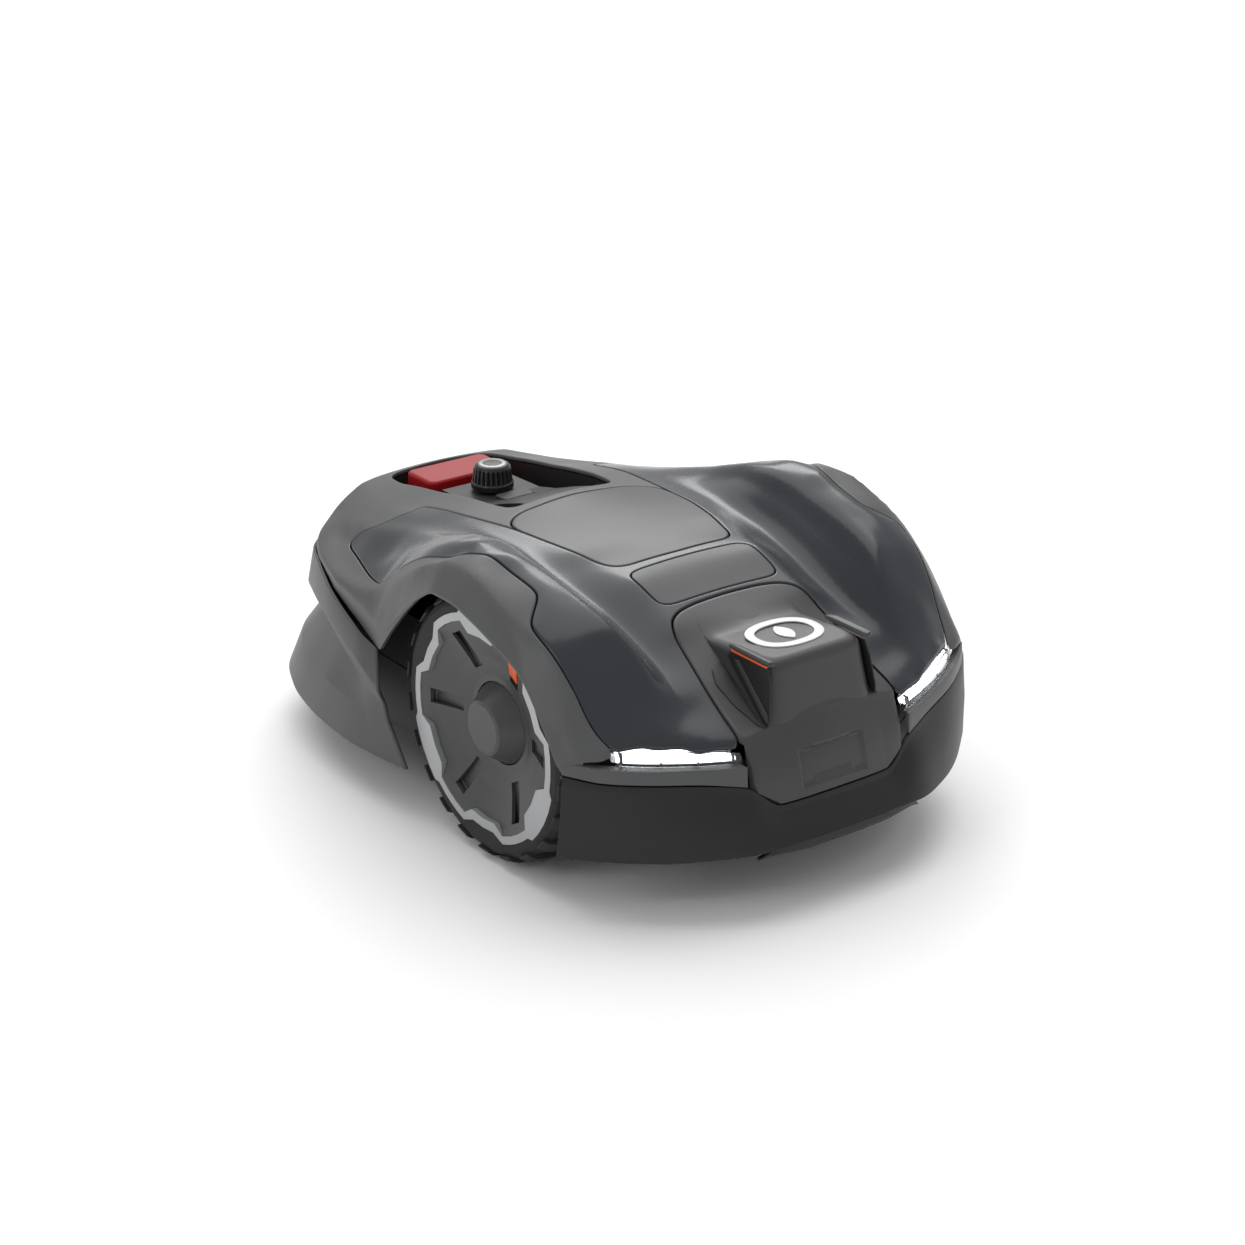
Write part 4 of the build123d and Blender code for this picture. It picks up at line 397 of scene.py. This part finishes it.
# ------------------------------------------------------------------ materials
# the lighter colour that these materials get on convex edges is a painted highlight
def material(name, base, rough, grain=1400.0, bump=0.12, var=0.10, metallic=0.0, coat=0.0, edge_highlight=0.25, trans=0.0, ior=1.46, emit=None, streak=None, spec=0.5, coat_rough=0.06):
    m = bpy.data.materials.new(name)
    m.use_nodes = True
    nt = m.node_tree
    N, L = nt.nodes, nt.links
    N.clear()
    out = N.new("ShaderNodeOutputMaterial")
    bs = N.new("ShaderNodeBsdfPrincipled")
    L.new(bs.outputs[0], out.inputs[0])
    tc = N.new("ShaderNodeTexCoord")
    big = N.new("ShaderNodeTexNoise")
    big.inputs["Scale"].default_value = 9.0
    big.inputs["Detail"].default_value = 3.0
    L.new(tc.outputs["Object"], big.inputs["Vector"])
    fine = N.new("ShaderNodeTexNoise")
    fine.inputs["Scale"].default_value = grain
    fine.inputs["Detail"].default_value = 2.0
    if streak:
        mp = N.new("ShaderNodeMapping")
        mp.inputs["Scale"].default_value = streak
        L.new(tc.outputs["Object"], mp.inputs["Vector"])
        L.new(mp.outputs[0], fine.inputs["Vector"])
    else:
        L.new(tc.outputs["Object"], fine.inputs["Vector"])
    shade = N.new("ShaderNodeMapRange")
    shade.inputs["From Min"].default_value = 0.3
    shade.inputs["From Max"].default_value = 0.7
    shade.inputs["To Min"].default_value = 1 - var
    shade.inputs["To Max"].default_value = 1 + var
    L.new(big.outputs["Fac"], shade.inputs["Value"])
    col = N.new("ShaderNodeVectorMath")
    col.operation = "SCALE"
    col.inputs[0].default_value = base
    L.new(shade.outputs[0], col.inputs["Scale"])
    # painted highlight: convex edges (high pointiness) are mixed towards a lighter base colour, standing in for light
    # caught on the rounded edges
    geo = N.new("ShaderNodeNewGeometry")
    edge = N.new("ShaderNodeMapRange")
    edge.inputs["From Min"].default_value = 0.53
    edge.inputs["From Max"].default_value = 0.62
    edge.inputs["To Min"].default_value = 0.0
    edge.inputs["To Max"].default_value = edge_highlight
    L.new(geo.outputs["Pointiness"], edge.inputs["Value"])
    mix = N.new("ShaderNodeMix")
    mix.data_type = "RGBA"
    L.new(edge.outputs[0], mix.inputs["Factor"])
    L.new(col.outputs[0], mix.inputs["A"])
    mix.inputs["B"].default_value = (*[min(1, c * 1.7 + 0.02) for c in base], 1)
    L.new(mix.outputs["Result"], bs.inputs["Base Color"])
    rr = N.new("ShaderNodeMapRange")
    rr.inputs["From Min"].default_value = 0.3
    rr.inputs["From Max"].default_value = 0.7
    rr.inputs["To Min"].default_value = max(0.02, rough - 0.05)
    rr.inputs["To Max"].default_value = min(1, rough + 0.05)
    L.new(fine.outputs["Fac"], rr.inputs["Value"])
    L.new(rr.outputs[0], bs.inputs["Roughness"])
    bp = N.new("ShaderNodeBump")
    bp.inputs["Strength"].default_value = bump
    bp.inputs["Distance"].default_value = 0.0002
    L.new(fine.outputs["Fac"], bp.inputs["Height"])
    L.new(bp.outputs[0], bs.inputs["Normal"])
    bs.inputs["Metallic"].default_value = metallic
    bs.inputs["Coat Weight"].default_value = coat
    bs.inputs["Coat Roughness"].default_value = coat_rough
    bs.inputs["Transmission Weight"].default_value = trans
    bs.inputs["IOR"].default_value = ior
    bs.inputs["Specular IOR Level"].default_value = spec
    if emit:
        bs.inputs["Emission Color"].default_value = (*emit[:3], 1)
        bs.inputs["Emission Strength"].default_value = emit[3]
    return m


MAT = {
    "shell_grey": material("shell_grey", (0.070, 0.071, 0.073), 0.40, bump=0.10, spec=0.38),
    "slate_gloss": material("slate_gloss", (0.022, 0.025, 0.031), 0.23, grain=600, bump=0.02, coat=0.12, spec=0.36, edge_highlight=0.15, var=0.05, coat_rough=0.16),
    "hatch_grey": material("hatch_grey", (0.050, 0.051, 0.054), 0.32, bump=0.05, spec=0.34),
    "nose_grey": material("nose_grey", (0.043, 0.043, 0.045), 0.38, bump=0.12, spec=0.45),
    "black_plastic": material("black_plastic", (0.012, 0.012, 0.013), 0.5, bump=0.2),
    "bumper_dark": material("bumper_dark", (0.0125, 0.0125, 0.0135), 0.44, bump=0.25, spec=0.36),
    "skirt_grey": material("skirt_grey", (0.046, 0.047, 0.049), 0.40, bump=0.14, spec=0.42),
    "clear_lens": material("clear_lens", (0.97, 0.98, 1.0), 0.07, grain=200, bump=0.0, trans=0.97, edge_highlight=0.0, var=0.01, ior=1.2),
    "reflector": material("reflector", (0.80, 0.81, 0.83), 0.18, metallic=1.0, streak=(600, 600, 60), edge_highlight=0),
    "led_board": material("led_board", (0.9, 0.93, 0.96), 0.4, emit=(0.95, 0.98, 1.0, 3.0), edge_highlight=0),
    "orange": material("orange", (0.80, 0.115, 0.022), 0.32, bump=0.05, edge_highlight=0.1),
    "white_print": material("white_print", (0.82, 0.82, 0.83), 0.35, bump=0.04, edge_highlight=0.0, var=0.03),
    "stop_red": material("stop_red", (0.30, 0.006, 0.009), 0.42, bump=0.08, edge_highlight=0.15, spec=0.28),
    "key_grey": material("key_grey", (0.024, 0.024, 0.025), 0.45, bump=0.2, spec=0.35),
    "tyre_black": material("tyre_black", (0.014, 0.014, 0.015), 0.78, grain=900, bump=0.5, edge_highlight=0.3),
    "rim_silver": material("rim_silver", (0.34, 0.345, 0.35), 0.33, grain=2600, bump=0.06, metallic=0.35, edge_highlight=0.1),
    "wheel_dark": material("wheel_dark", (0.050, 0.051, 0.053), 0.40, bump=0.16),
    "steel": material("steel", (0.55, 0.56, 0.58), 0.28, metallic=1.0, streak=(40, 1500, 1500), bump=0.08, edge_highlight=0),
    "zinc": material("zinc", (0.60, 0.61, 0.64), 0.35, metallic=1.0, grain=800, bump=0.05, edge_highlight=0),
    "brass": material("brass", (0.72, 0.50, 0.18), 0.25, metallic=1.0, grain=500, bump=0.05, edge_highlight=0),
    "seal_rubber": material("seal_rubber", (0.015, 0.015, 0.015), 0.8, grain=900, bump=0.3),
    "battery_blue": material("battery_blue", (0.03, 0.06, 0.13), 0.42, bump=0.1),
    "pcb_green": material("pcb_green", (0.01, 0.10, 0.04), 0.35, grain=300, bump=0.1),
    "caster_black": material("caster_black", (0.02, 0.02, 0.022), 0.62, grain=900, bump=0.3),
    "disc_orange": material("disc_orange", (0.62, 0.12, 0.03), 0.38, bump=0.1),
}
SLOT = {row["node"]: row["material_slot"] for row in frame["record"]["subparts"]}
for n, ob in NODES.items():
    ob.data.materials.clear()
    ob.data.materials.append(MAT[SLOT[n]])


def stands(ob, *nodes, body="cover"):
    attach(ob, body)
    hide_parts(*nodes)
    return ob


def extra(ob, body="cover"):
    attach(ob, body)
    return ob


# ------------------------------------------------------------------ hull covers
stands(panel("hatch", mirrored(HATCH_HALF), mat=MAT["hatch_grey"]), "top_hatch")
stands(panel("plate", mirrored(PLATE_HALF), mat=MAT[SLOT["name_plate"]], rnd=0.7, t=3.4), "name_plate")
stands(panel("cover_skin", COVER_FULL, holes=COVER_HOLES, mat=MAT["slate_gloss"], grid=5.0), "main_cover")


def shell_foot(P):
    """The wall goes down only along the outer side, not round the cut-out for the covers."""
    a = np.array(BODY_SIDE, float)
    Q = np.column_stack([np.abs(P[:, 0]), P[:, 1]])
    best = np.full(len(Q), 1e9)
    for u, v in zip(a[:-1], a[1:]):
        w = v - u
        t = np.clip((Q - u) @ w / (w @ w), 0, 1)
        best = np.minimum(best, np.linalg.norm(Q - (u + t[:, None] * w), axis=1))
    z = np.where(best < 4.6, read(ARCH, P[:, 1]), 400.0)
    return np.column_stack([np.zeros(len(P)), np.zeros(len(P)), z])


stands(panel("shell_skin", mirrored(SHELL_OUTLINE), holes=[mirrored(WELL_HALF)], mat=MAT["shell_grey"], foot=shell_foot, rows=4, rnd=1.8), "body_shell")


def nose_foot(P):
    front = np.clip((-284 - P[:, 1]) / 3.0, 0, 1)
    k = np.clip(1 - (np.abs(P[:, 0]) / 86.0) ** 4, 0, 1)
    dy = (-(296.5 + 12.0 * k) - P[:, 1]) * front
    z = read(FRONT_SPLIT, np.abs(P[:, 0])) + 0.8
    z = np.where(front > 0.5, z, 400.0)
    return np.column_stack([0.02 * P[:, 0] * front, dy, z])


def nose_side(A, B, R, s):
    R = R.copy()
    tall = (A[:, 2] - B[:, 2]) > 8
    R[tall, 1] -= 2.6 * math.sin(math.pi * s)
    # shallow rectangular recess on the lower front
    u = np.clip((34.0 - np.abs(R[:, 0])) / 1.6, 0, 1)
    v = np.clip((R[:, 2] - 97.0) / 1.6, 0, 1) * np.clip((129.0 - R[:, 2]) / 1.6, 0, 1)
    R[tall, 1] += (2.6 * u * v)[tall]
    return R


stands(panel("nose_skin", mirrored(NOSE_TOP_HALF), mat=MAT["nose_grey"], foot=nose_foot, rows=40, side=nose_side, step=1.6, rnd=2.6, t=4.0), "nose_cover")

# strip of the grey shell under the headlamps
for s, side in ((1, "left"), (-1, "right")):
    line = [(86.9, -298.3), (123, -283.5), (161, -266.5), (194, -244.5), (209, -230.5), (216.5, -222)]
    crown = [128.0, 130.2, 133.0, 135.8, 138.5, 134.0]
    top0 = [(s * (x - (3 if x > 100 else -0.4)), y + 8, z + 0.9) for (x, y), z in zip(line, crown)]
    top1 = [(s * x, y, z) for (x, y), z in zip(line, crown)]
    bot = [(s * x, y - 0.8, float(read(FRONT_SPLIT, x)) + 0.8) for x, y in line]
    extra(sheet("strip_" + side, [top0, top1, bot], 3.0, MAT["shell_grey"], bevel=1.0, across=2, out=(s * 0.6, -1, 0.2)))

# ------------------------------------------------------------------ bumper and chin
def rail(xs, ys, zs):
    return whole(list(zip(xs, ys, zs)))


split = [float(read(FRONT_SPLIT, x)) - 0.5 for x in TOP_X]
lip = [z - 5.5 for z in split]
mid = [0.5 * (a + b) for a, b in zip(lip, LOW_Z)]
bump_rails = [
    rail([x * 0.995 for x in TOP_X], [y + 3.0 for y in TOP_Y], split),
    rail(TOP_X, TOP_Y, [z - 0.3 for z in split]),
    rail([x * 1.004 for x in TOP_X], [y * 0.6 + z * 0.4 - 1.4 for y, z in zip(TOP_Y, [a - 0.0 for a in TOP_Y])], lip),
    rail([0.5 * (a + b) * 1.004 for a, b in zip(TOP_X, LOW_X)], [0.5 * (a + b) - 2.2 for a, b in zip(TOP_Y, LOW_Y)], mid),
    rail(LOW_X, [y for y in LOW_Y], LOW_Z),
]
stands(sheet("bumper_skin", bump_rails, 3.4, MAT["bumper_dark"], bevel=1.4, across=3, out=(0, -1, 0)), "front_bumper")
chin = [
    whole([(0, -327, 62), (40, -326.4, 62), (68, -323, 61.5), (80, -318, 56), (86, -315, 52)]),
    whole([(0, -326.5, 56.5), (40, -325.5, 56.5), (68, -321.5, 56), (80, -317, 53), (86, -314.5, 51)]),
    whole([(0, -322, 51), (40, -321, 51), (68, -316, 51), (80, -313, 50.5), (86, -312.5, 50)]),
]
stands(sheet("chin_skin", chin, 3.0, MAT["bumper_dark"], bevel=0.8, across=2, out=(0, -1, 0)), "chin_insert")

# ------------------------------------------------------------------ rear skirt
split_z = [float(read(ARCH, y)) - 0.9 for x, y in BAND_TOP]
deep = [(x - 7.5 * max(0.0, min(1.0, (y - 62) / 60)) * (x / 225 if y < 260 else x / 240), y - 6.0 * max(0.0, min(1.0, (y - 150) / 80)), z) for x, y, z in RECESS]
under = [(x - 12.0 * max(0.0, min(1.0, (y - 66) / 50)) * (x / 225 if y < 260 else x / 240), y - 10.0 * max(0.0, min(1.0, (y - 150) / 80)), z - 5) for x, y, z in BAND_LOW]
skirt_rails = [whole([(x, y, z) for (x, y), z in zip(BAND_TOP, split_z)]), whole(BAND_LOW), whole(under), whole(deep), whole(FOLD), whole(SKIRT)]
stands(sheet("skirt_skin", skirt_rails, 3.3, MAT["skirt_grey"], bevel=1.8, across=1, out=(0, 1, 0), angle=12), "rear_skirt")

# ------------------------------------------------------------------ sensor housing
def housing(name, mat):
    zt, r_top = 203.0, 8.0
    n = 96
    rings = []
    levels = [("s", k / 12) for k in range(13)] + [("c", a) for a in (15, 30, 45, 60, 75, 90)]
    def outline(z, inset):
        k = (z - 136) / 67.0
        w = 59 - 9 * k - inset
        yf = -292.5 + 12.5 * k + inset
        yr = -176 - inset
        cy, hy = (yf + yr) / 2, (yr - yf) / 2
        ang = (np.arange(n) + 0.5) / n * 2 * np.pi
        c, s_ = np.cos(ang), np.sin(ang)
        e = 0.24
        return np.stack([w * np.sign(c) * np.abs(c) ** e, cy + hy * np.sign(s_) * np.abs(s_) ** e], 1)
    base = outline(150, 0)
    for _ in range(3):
        zb = np.minimum(heights(base) - 1.2, 194)
        base = np.array([outline(float(z), 0)[i] for i, z in enumerate(zb)])
    for kind, v in levels:
        if kind == "s":
            z = zb + (zt - r_top - zb) * v
            P = np.array([outline(float(q), 0)[i] for i, q in enumerate(z)])
            rings.append(np.column_stack([P, z]))
        else:
            a = math.radians(v)
            P = outline(zt - r_top + r_top * math.sin(a), r_top * (1 - math.cos(a)))
            rings.append(np.column_stack([P, np.full(n, zt - r_top + r_top * math.sin(a))]))
    edge_ring = rings[-1]
    c = edge_ring.mean(0)
    for f in np.linspace(0.94, 0.06, 12):
        rings.append(np.column_stack([c[0] + (edge_ring[:, 0] - c[0]) * f, c[1] + (edge_ring[:, 1] - c[1]) * f, np.full(n, zt)]))
    verts = np.vstack(rings)
    skin = heights(verts[:, :2])
    u = np.clip((verts[:, 1] + 226) / 44.0, 0, 1)
    u = u * u * (3 - 2 * u)
    goal = np.where(verts[:, 2] > skin - 1.0, skin + 0.3, verts[:, 2])
    goal = np.where(np.arange(len(verts)) >= 13 * n, skin + 0.3, np.minimum(verts[:, 2], skin - 0.4))
    verts[:, 2] = verts[:, 2] * (1 - u) + goal * u
    faces = []
    for i in range(len(rings) - 1):
        for j in range(n):
            a, b = i * n + j, i * n + (j + 1) % n
            faces.append((a, b, b + n, a + n))
    faces.append(tuple((len(rings) - 1) * n + j for j in range(n)))
    faces.append(tuple(reversed(range(n))))
    return sharpen(mesh_object(name, verts, faces, mat), 50)


stands(housing("sensor_body", MAT["nose_grey"]), "sensor_module")


def side_x(y, z):
    """Half width of the housing flank."""
    return 59 - 9 * (z - 136) / 67.0


def slab(name, pts, thick, mat, bevel=0.6):
    """Flat piece: outline points (x, y, z) in order, thickened along its own normal both ways."""
    P = np.array(pts, float)
    nrm = np.cross(P[1] - P[0], P[2] - P[1])
    nrm /= np.linalg.norm(nrm)
    n = len(P)
    verts = np.vstack([P + nrm * thick / 2, P - nrm * thick / 2])
    faces = [tuple(range(n)), tuple(range(2 * n - 1, n - 1, -1))] + [(i, (i + 1) % n, n + (i + 1) % n, n + i) for i in range(n)]
    ob = mesh_object(name, verts, faces, mat)
    bv = ob.modifiers.new("edge", "BEVEL")
    bv.width = bevel * 0.001
    bv.segments = 3
    bv.limit_method = "ANGLE"
    baked(ob)
    return sharpen(ob, 50)


for s, side in ((1, "left"), (-1, "right")):
    flank = [(-279.5, 198), (-284.5, 186), (-289, 160), (-288, 152), (-284, 151.5), (-258, 170), (-234, 187), (-228, 193), (-231, 198)]
    pts = [(s * (side_x(y, z) + 0.5), y, z) for y, z in flank]
    w = slab("window_" + side, pts, 1.4, MAT["black_plastic"], 0.4)
    if s > 0:
        stands(w, "sensor_ports")
    else:
        extra(w)
    sill = [(59.5, -287), (63.5, -281), (68, -256), (69, -234), (64, -222), (54, -219), (52.5, -226), (56.3, -250), (58.2, -270)]
    zs = heights(np.array(sill)) + 0.7
    extra(slab("window_sill_" + side, [(s * x, y, z) for (x, y), z in zip(sill, zs)], 1.2, MAT["black_plastic"], 0.3))
    # sloping rib across the window
    pts = [(s * (side_x(y, z) + 1.2), y, z) for y, z in [(-287, 155), (-282.5, 156.5), (-237, 193), (-243, 194), (-286, 161)]]
    extra(slab("window_rib_" + side, pts, 1.6, MAT["nose_grey"], 0.5))
    # overhanging ridge above the window
    prof = [(47.0, 202.4), (49.0, 205.6), (54.2, 206.2), (56.0, 204.0), (55.2, 202.0), (50.5, 201.4)]
    ring = []
    ys = [-284.5, -283, -270, -255, -240, -232, -229]
    grow = [0.55, 1, 1, 1, 0.95, 0.7, 0.3]
    for y, g in zip(ys, grow):
        ring.append([(s * (50.5 + (x - 50.5) * g), y, 202.6 + (z - 202.6) * g) for x, z in prof])
    m = len(prof)
    verts = [p for r in ring for p in r]
    faces = [(i * m + j, i * m + (j + 1) % m, (i + 1) * m + (j + 1) % m, (i + 1) * m + j) for i in range(len(ring) - 1) for j in range(m)]
    faces += [tuple(range(m)), tuple((len(ring) - 1) * m + j for j in reversed(range(m)))]
    ob = mesh_object("ridge_" + side, verts, faces, MAT["nose_grey"])
    bv = ob.modifiers.new("edge", "BEVEL")
    bv.width = 0.0007
    bv.segments = 2
    bv.limit_method = "ANGLE"
    baked(ob)
    extra(sharpen(ob, 50))


# badge: a plain oval ring with a leaf, standing for the mark
def flat_ring(name, outer, inner, z, h, mat, cy):
    n = 96
    a = np.arange(n) / n * 2 * np.pi
    def loop(rx, ry, zz, e=0.86):
        return np.column_stack([rx * np.sign(np.cos(a)) * np.abs(np.cos(a)) ** e, cy + ry * np.sign(np.sin(a)) * np.abs(np.sin(a)) ** e, np.full(n, zz)])
    L = [loop(*inner, z), loop(*inner, z + h - 0.25), loop(inner[0] + 0.3, inner[1] + 0.3, z + h), loop(outer[0] - 0.3, outer[1] - 0.3, z + h), loop(*outer, z + h - 0.25), loop(*outer, z)]
    verts = np.vstack(L)
    faces = []
    for i in range(6):
        for j in range(n):
            p, q = i * n + j, i * n + (j + 1) % n
            r, t = ((i + 1) % 6) * n + (j + 1) % n, ((i + 1) % 6) * n + j
            faces.append((p, q, r, t))
    return mesh_object(name, verts, faces, mat)


stands(sharpen(flat_ring("badge_ring", (34.5, 26.5), (26.5, 19.0), 203.0, 1.1, MAT["white_print"], -237), 40), "emblem_plate")
leaf = []
for k in range(25):
    t = k / 24
    leaf.append((15.0 * math.sin(math.pi * t) ** 0.8 * 0.5, -237 - 13.5 + 27 * t, 203.55))
leaf = leaf + [(-x, y, z) for x, y, z in reversed(leaf[1:-1])]
extra(slab("badge_leaf", leaf, 1.1, MAT["white_print"], 0.25))

# ------------------------------------------------------------------ headlamps
def band(name, s, off, zb, zt, thick, mat, bulge=1.5, trim=0.0, bevel=0.8):
    xs = np.array([p[0] for p in LAMP_LINE], float)
    ys = np.array([p[1] for p in LAMP_LINE], float)
    q = np.linspace(xs[0] + 0.6 + trim, xs[-1] - 0.6 - trim, 24)
    yy = pchip_rows(np.repeat(xs[None], 24, 0), np.repeat(ys[None], 24, 0), q)
    rows = []
    for k in range(6):
        t = k / 5
        rows.append(np.column_stack([s * q, yy + off - bulge * math.sin(math.pi * t) + 2.2 * t - 2.2, (zb(q) + (zt(q) - zb(q)) * t)]))
    return sheet(name, [list(map(tuple, r)) for r in rows[::-1]], thick, mat, bevel=bevel, across=1, n=1, angle=30, out=(s * 0.5, -1, 0.2))


for s, side in ((1, "left"), (-1, "right")):
    lamp_y = lambda x: np.interp(x, [p[0] for p in LAMP_LINE], [p[1] for p in LAMP_LINE])
    zb = lambda x: np.interp(x, [86, 123, 161, 194], [129.5, 131.7, 134.5, 137.2])
    zt = lambda x: np.maximum(heights(np.stack([np.atleast_1d(x), np.atleast_1d(lamp_y(x)) + 5.0], 1)) - 3.9, np.atleast_1d(zb(x)) + 5.0)
    lens = band("lens_" + side, s, 0.2, zb, zt, 1.6, MAT["clear_lens"])
    refl = band("reflector_" + side, s, 8.5, lambda x: zb(x) + 0.4, lambda x: zt(x) - 0.4, 1.0, MAT["reflector"], bulge=-2.5, trim=1.5, bevel=0.3)
    led = band("led_bar_" + side, s, 4.2, lambda x: zb(x) + 1.6, lambda x: zt(x) - 1.6, 2.0, MAT["led_board"], trim=2.5, bevel=0.6)
    for k, t in enumerate((0.06, 0.36, 0.66, 0.96)):
        x0 = 88 + 91 * t
        y0 = float(np.interp(x0, [p[0] for p in LAMP_LINE], [p[1] for p in LAMP_LINE]))
        a0, b0 = float(zb(x0)) + 0.8, (float(zt(x0)[0]) - 0.8 if k in (0, 3) else float(zb(x0)) + 3.2)
        extra(slab("lamp_rib_%s_%d" % (side, k), [(s * x0, y0 - 1.0, a0), (s * x0, y0 + 5.5, a0), (s * x0, y0 + 5.5, b0), (s * x0, y0 + 0.4, b0)], 1.5 if k in (0, 3) else 0.9, MAT["black_plastic"], 0.2))
    if s > 0:
        stands(lens, "headlamp_lenses")
        stands(refl, "headlamp_reflectors")
        stands(led, "led_boards")
    else:
        extra(lens)
        extra(refl)
        extra(led)

# ------------------------------------------------------------------ knob
def lathe(name, prof, cx, cy, mat, n=96, wave=0.0, lobes=0, band=(0, 0)):
    """Turned piece about the vertical through (cx, cy); wave gives a grip between the heights in band."""
    a = np.arange(n) / n * 2 * np.pi
    rings = []
    for r, z in prof:
        rr = np.full(n, r)
        if lobes and band[0] <= z <= band[1]:
            rr = r - wave * (0.5 + 0.5 * np.cos(lobes * a)) ** 2
        rings.append(np.column_stack([cx + rr * np.cos(a), cy + rr * np.sin(a), np.full(n, z)]))
    faces = [(i * n + j, i * n + (j + 1) % n, (i + 1) * n + (j + 1) % n, (i + 1) * n + j) for i in range(len(rings) - 1) for j in range(n)]
    faces += [tuple(reversed(range(n))), tuple((len(rings) - 1) * n + j for j in range(n))]
    return sharpen(mesh_object(name, np.vstack(rings), faces, mat), 32)


# coloured insert of each wheel, flush with the face of the cover
for s, side in ((1, "left"), (-1, "right")):
    pts = []
    for r, a in ((62.5, 54.5), (90.5, 55.5), (91.5, 60), (90.5, 64.5), (62.5, 65.5)):
        a = math.radians(a)
        pts.append((s * (196.8 + (r - 68) * 0.39 + 0.2), -94.8 - r * math.cos(a), 120 + r * math.sin(a)))
    stands(slab("wheel_insert_" + side, pts, 2.2, MAT["orange"], 0.5), "wheel_accent_" + side, body="drive_wheel_" + side)

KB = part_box("jog_knob")
kz0, kz1 = KB[0].z * 1000, KB[1].z * 1000
kr = (KB[1].x - KB[0].x) * 500
knob_black = material("knob_black", (0.010, 0.010, 0.011), 0.30, bump=0.10, edge_highlight=0.3)
stands(lathe("knob_body", [(kr * 0.93, kz0), (kr, kz0 + 1.0), (kr, kz0 + 5.0), (kr * 0.985, kz0 + 6.0), (kr * 0.95, kz0 + 7.0), (kr * 0.88, kz1 - 5.5), (kr * 0.85, kz1 - 3.6), (kr * 0.78, kz1 - 1.4), (kr * 0.70, kz1 - 0.5), (kr * 0.66, kz1 - 0.4)], 0, 190, knob_black, n=240, wave=1.3, lobes=24, band=(kz0 + 6.5, kz1 - 4.5)), "jog_knob", body="jog_knob")
extra(lathe("knob_ring", [(kr * 0.64, kz1 - 1.6), (kr * 0.64, kz1 - 0.2), (kr * 0.62, kz1), (kr * 0.47, kz1), (kr * 0.45, kz1 - 0.3), (kr * 0.45, kz1 - 1.6)], 0, 190, MAT["rim_silver"]), body="jog_knob")
extra(lathe("knob_cap", [(kr * 0.43, kz1 - 1.6), (kr * 0.43, kz1 - 0.9), (kr * 0.40, kz1 - 0.6), (kr * 0.2, kz1 - 0.5)], 0, 190, MAT["key_grey"]), body="jog_knob")

# ------------------------------------------------------------------ stage
bpy.ops.mesh.primitive_plane_add(size=90, location=(0, 0, -0.0005))
floor = bpy.context.object
floor.name = "floor"
fm = bpy.data.materials.new("floor")
fm.use_nodes = True
fb = fm.node_tree.nodes["Principled BSDF"]
fb.inputs["Base Color"].default_value = (0.93, 0.93, 0.93, 1)
fb.inputs["Roughness"].default_value = 0.75
floor.data.materials.append(fm)

world = bpy.data.worlds.new("studio")
bpy.context.scene.world = world
world.use_nodes = True
world.node_tree.nodes["Background"].inputs[0].default_value = (1, 1, 1, 1)
wn = world.node_tree
lp = wn.nodes.new("ShaderNodeLightPath")
ws = wn.nodes.new("ShaderNodeMapRange")
ws.inputs["To Min"].default_value = 0.62
ws.inputs["To Max"].default_value = 1.0
wn.links.new(lp.outputs["Is Camera Ray"], ws.inputs["Value"])
wn.links.new(ws.outputs[0], wn.nodes["Background"].inputs[1])
bpy.context.scene.view_settings.view_transform = "Standard"


def softbox(name, loc, target, size, power, size_y=None):
    d = bpy.data.lights.new(name, "AREA")
    d.energy = power
    d.shape = "RECTANGLE"
    d.size = size
    d.size_y = size_y or size
    o = bpy.data.objects.new(name, d)
    bpy.context.scene.collection.objects.link(o)
    o.location = loc
    o.rotation_euler = (Vector(target) - Vector(loc)).to_track_quat("-Z", "Y").to_euler()
    return o


sun = bpy.data.lights.new("sky", "SUN")
sun.energy = 1.75
sun.angle = math.radians(70)
so_ = bpy.data.objects.new("sky", sun)
bpy.context.scene.collection.objects.link(so_)
so_.rotation_euler = Vector((0.25, 0.45, 1.0)).to_track_quat("Z", "Y").to_euler()
softbox("rear_left", (1.5, 1.9, 1.7), (0, 0, 0.15), 1.3, 13, 1.0)
softbox("front_right", (-2.3, -0.3, 1.5), (0, 0, 0.1), 1.0, 7, 0.8)

cam = bpy.data.cameras.new("camera")
co = bpy.data.objects.new("camera", cam)
bpy.context.scene.collection.objects.link(co)
bpy.context.scene.camera = co
cam.sensor_width = 36.0
cam.sensor_fit = "HORIZONTAL"
cam.lens = 36.0 * 2863.966 / 1245.0
az, el = math.radians(-36.6739), math.radians(22.7547)
back = Vector((math.sin(az) * math.cos(el), -math.cos(az) * math.cos(el), math.sin(el)))
right = Vector((math.cos(az), math.sin(az), 0))
up = back.cross(right)
M = Matrix(((right.x, up.x, back.x), (right.y, up.y, back.y), (right.z, up.z, back.z))).to_4x4()
M.translation = Vector((-1.4062, -1.9018, 1.1244))
co.matrix_world = M
cam.clip_end = 50
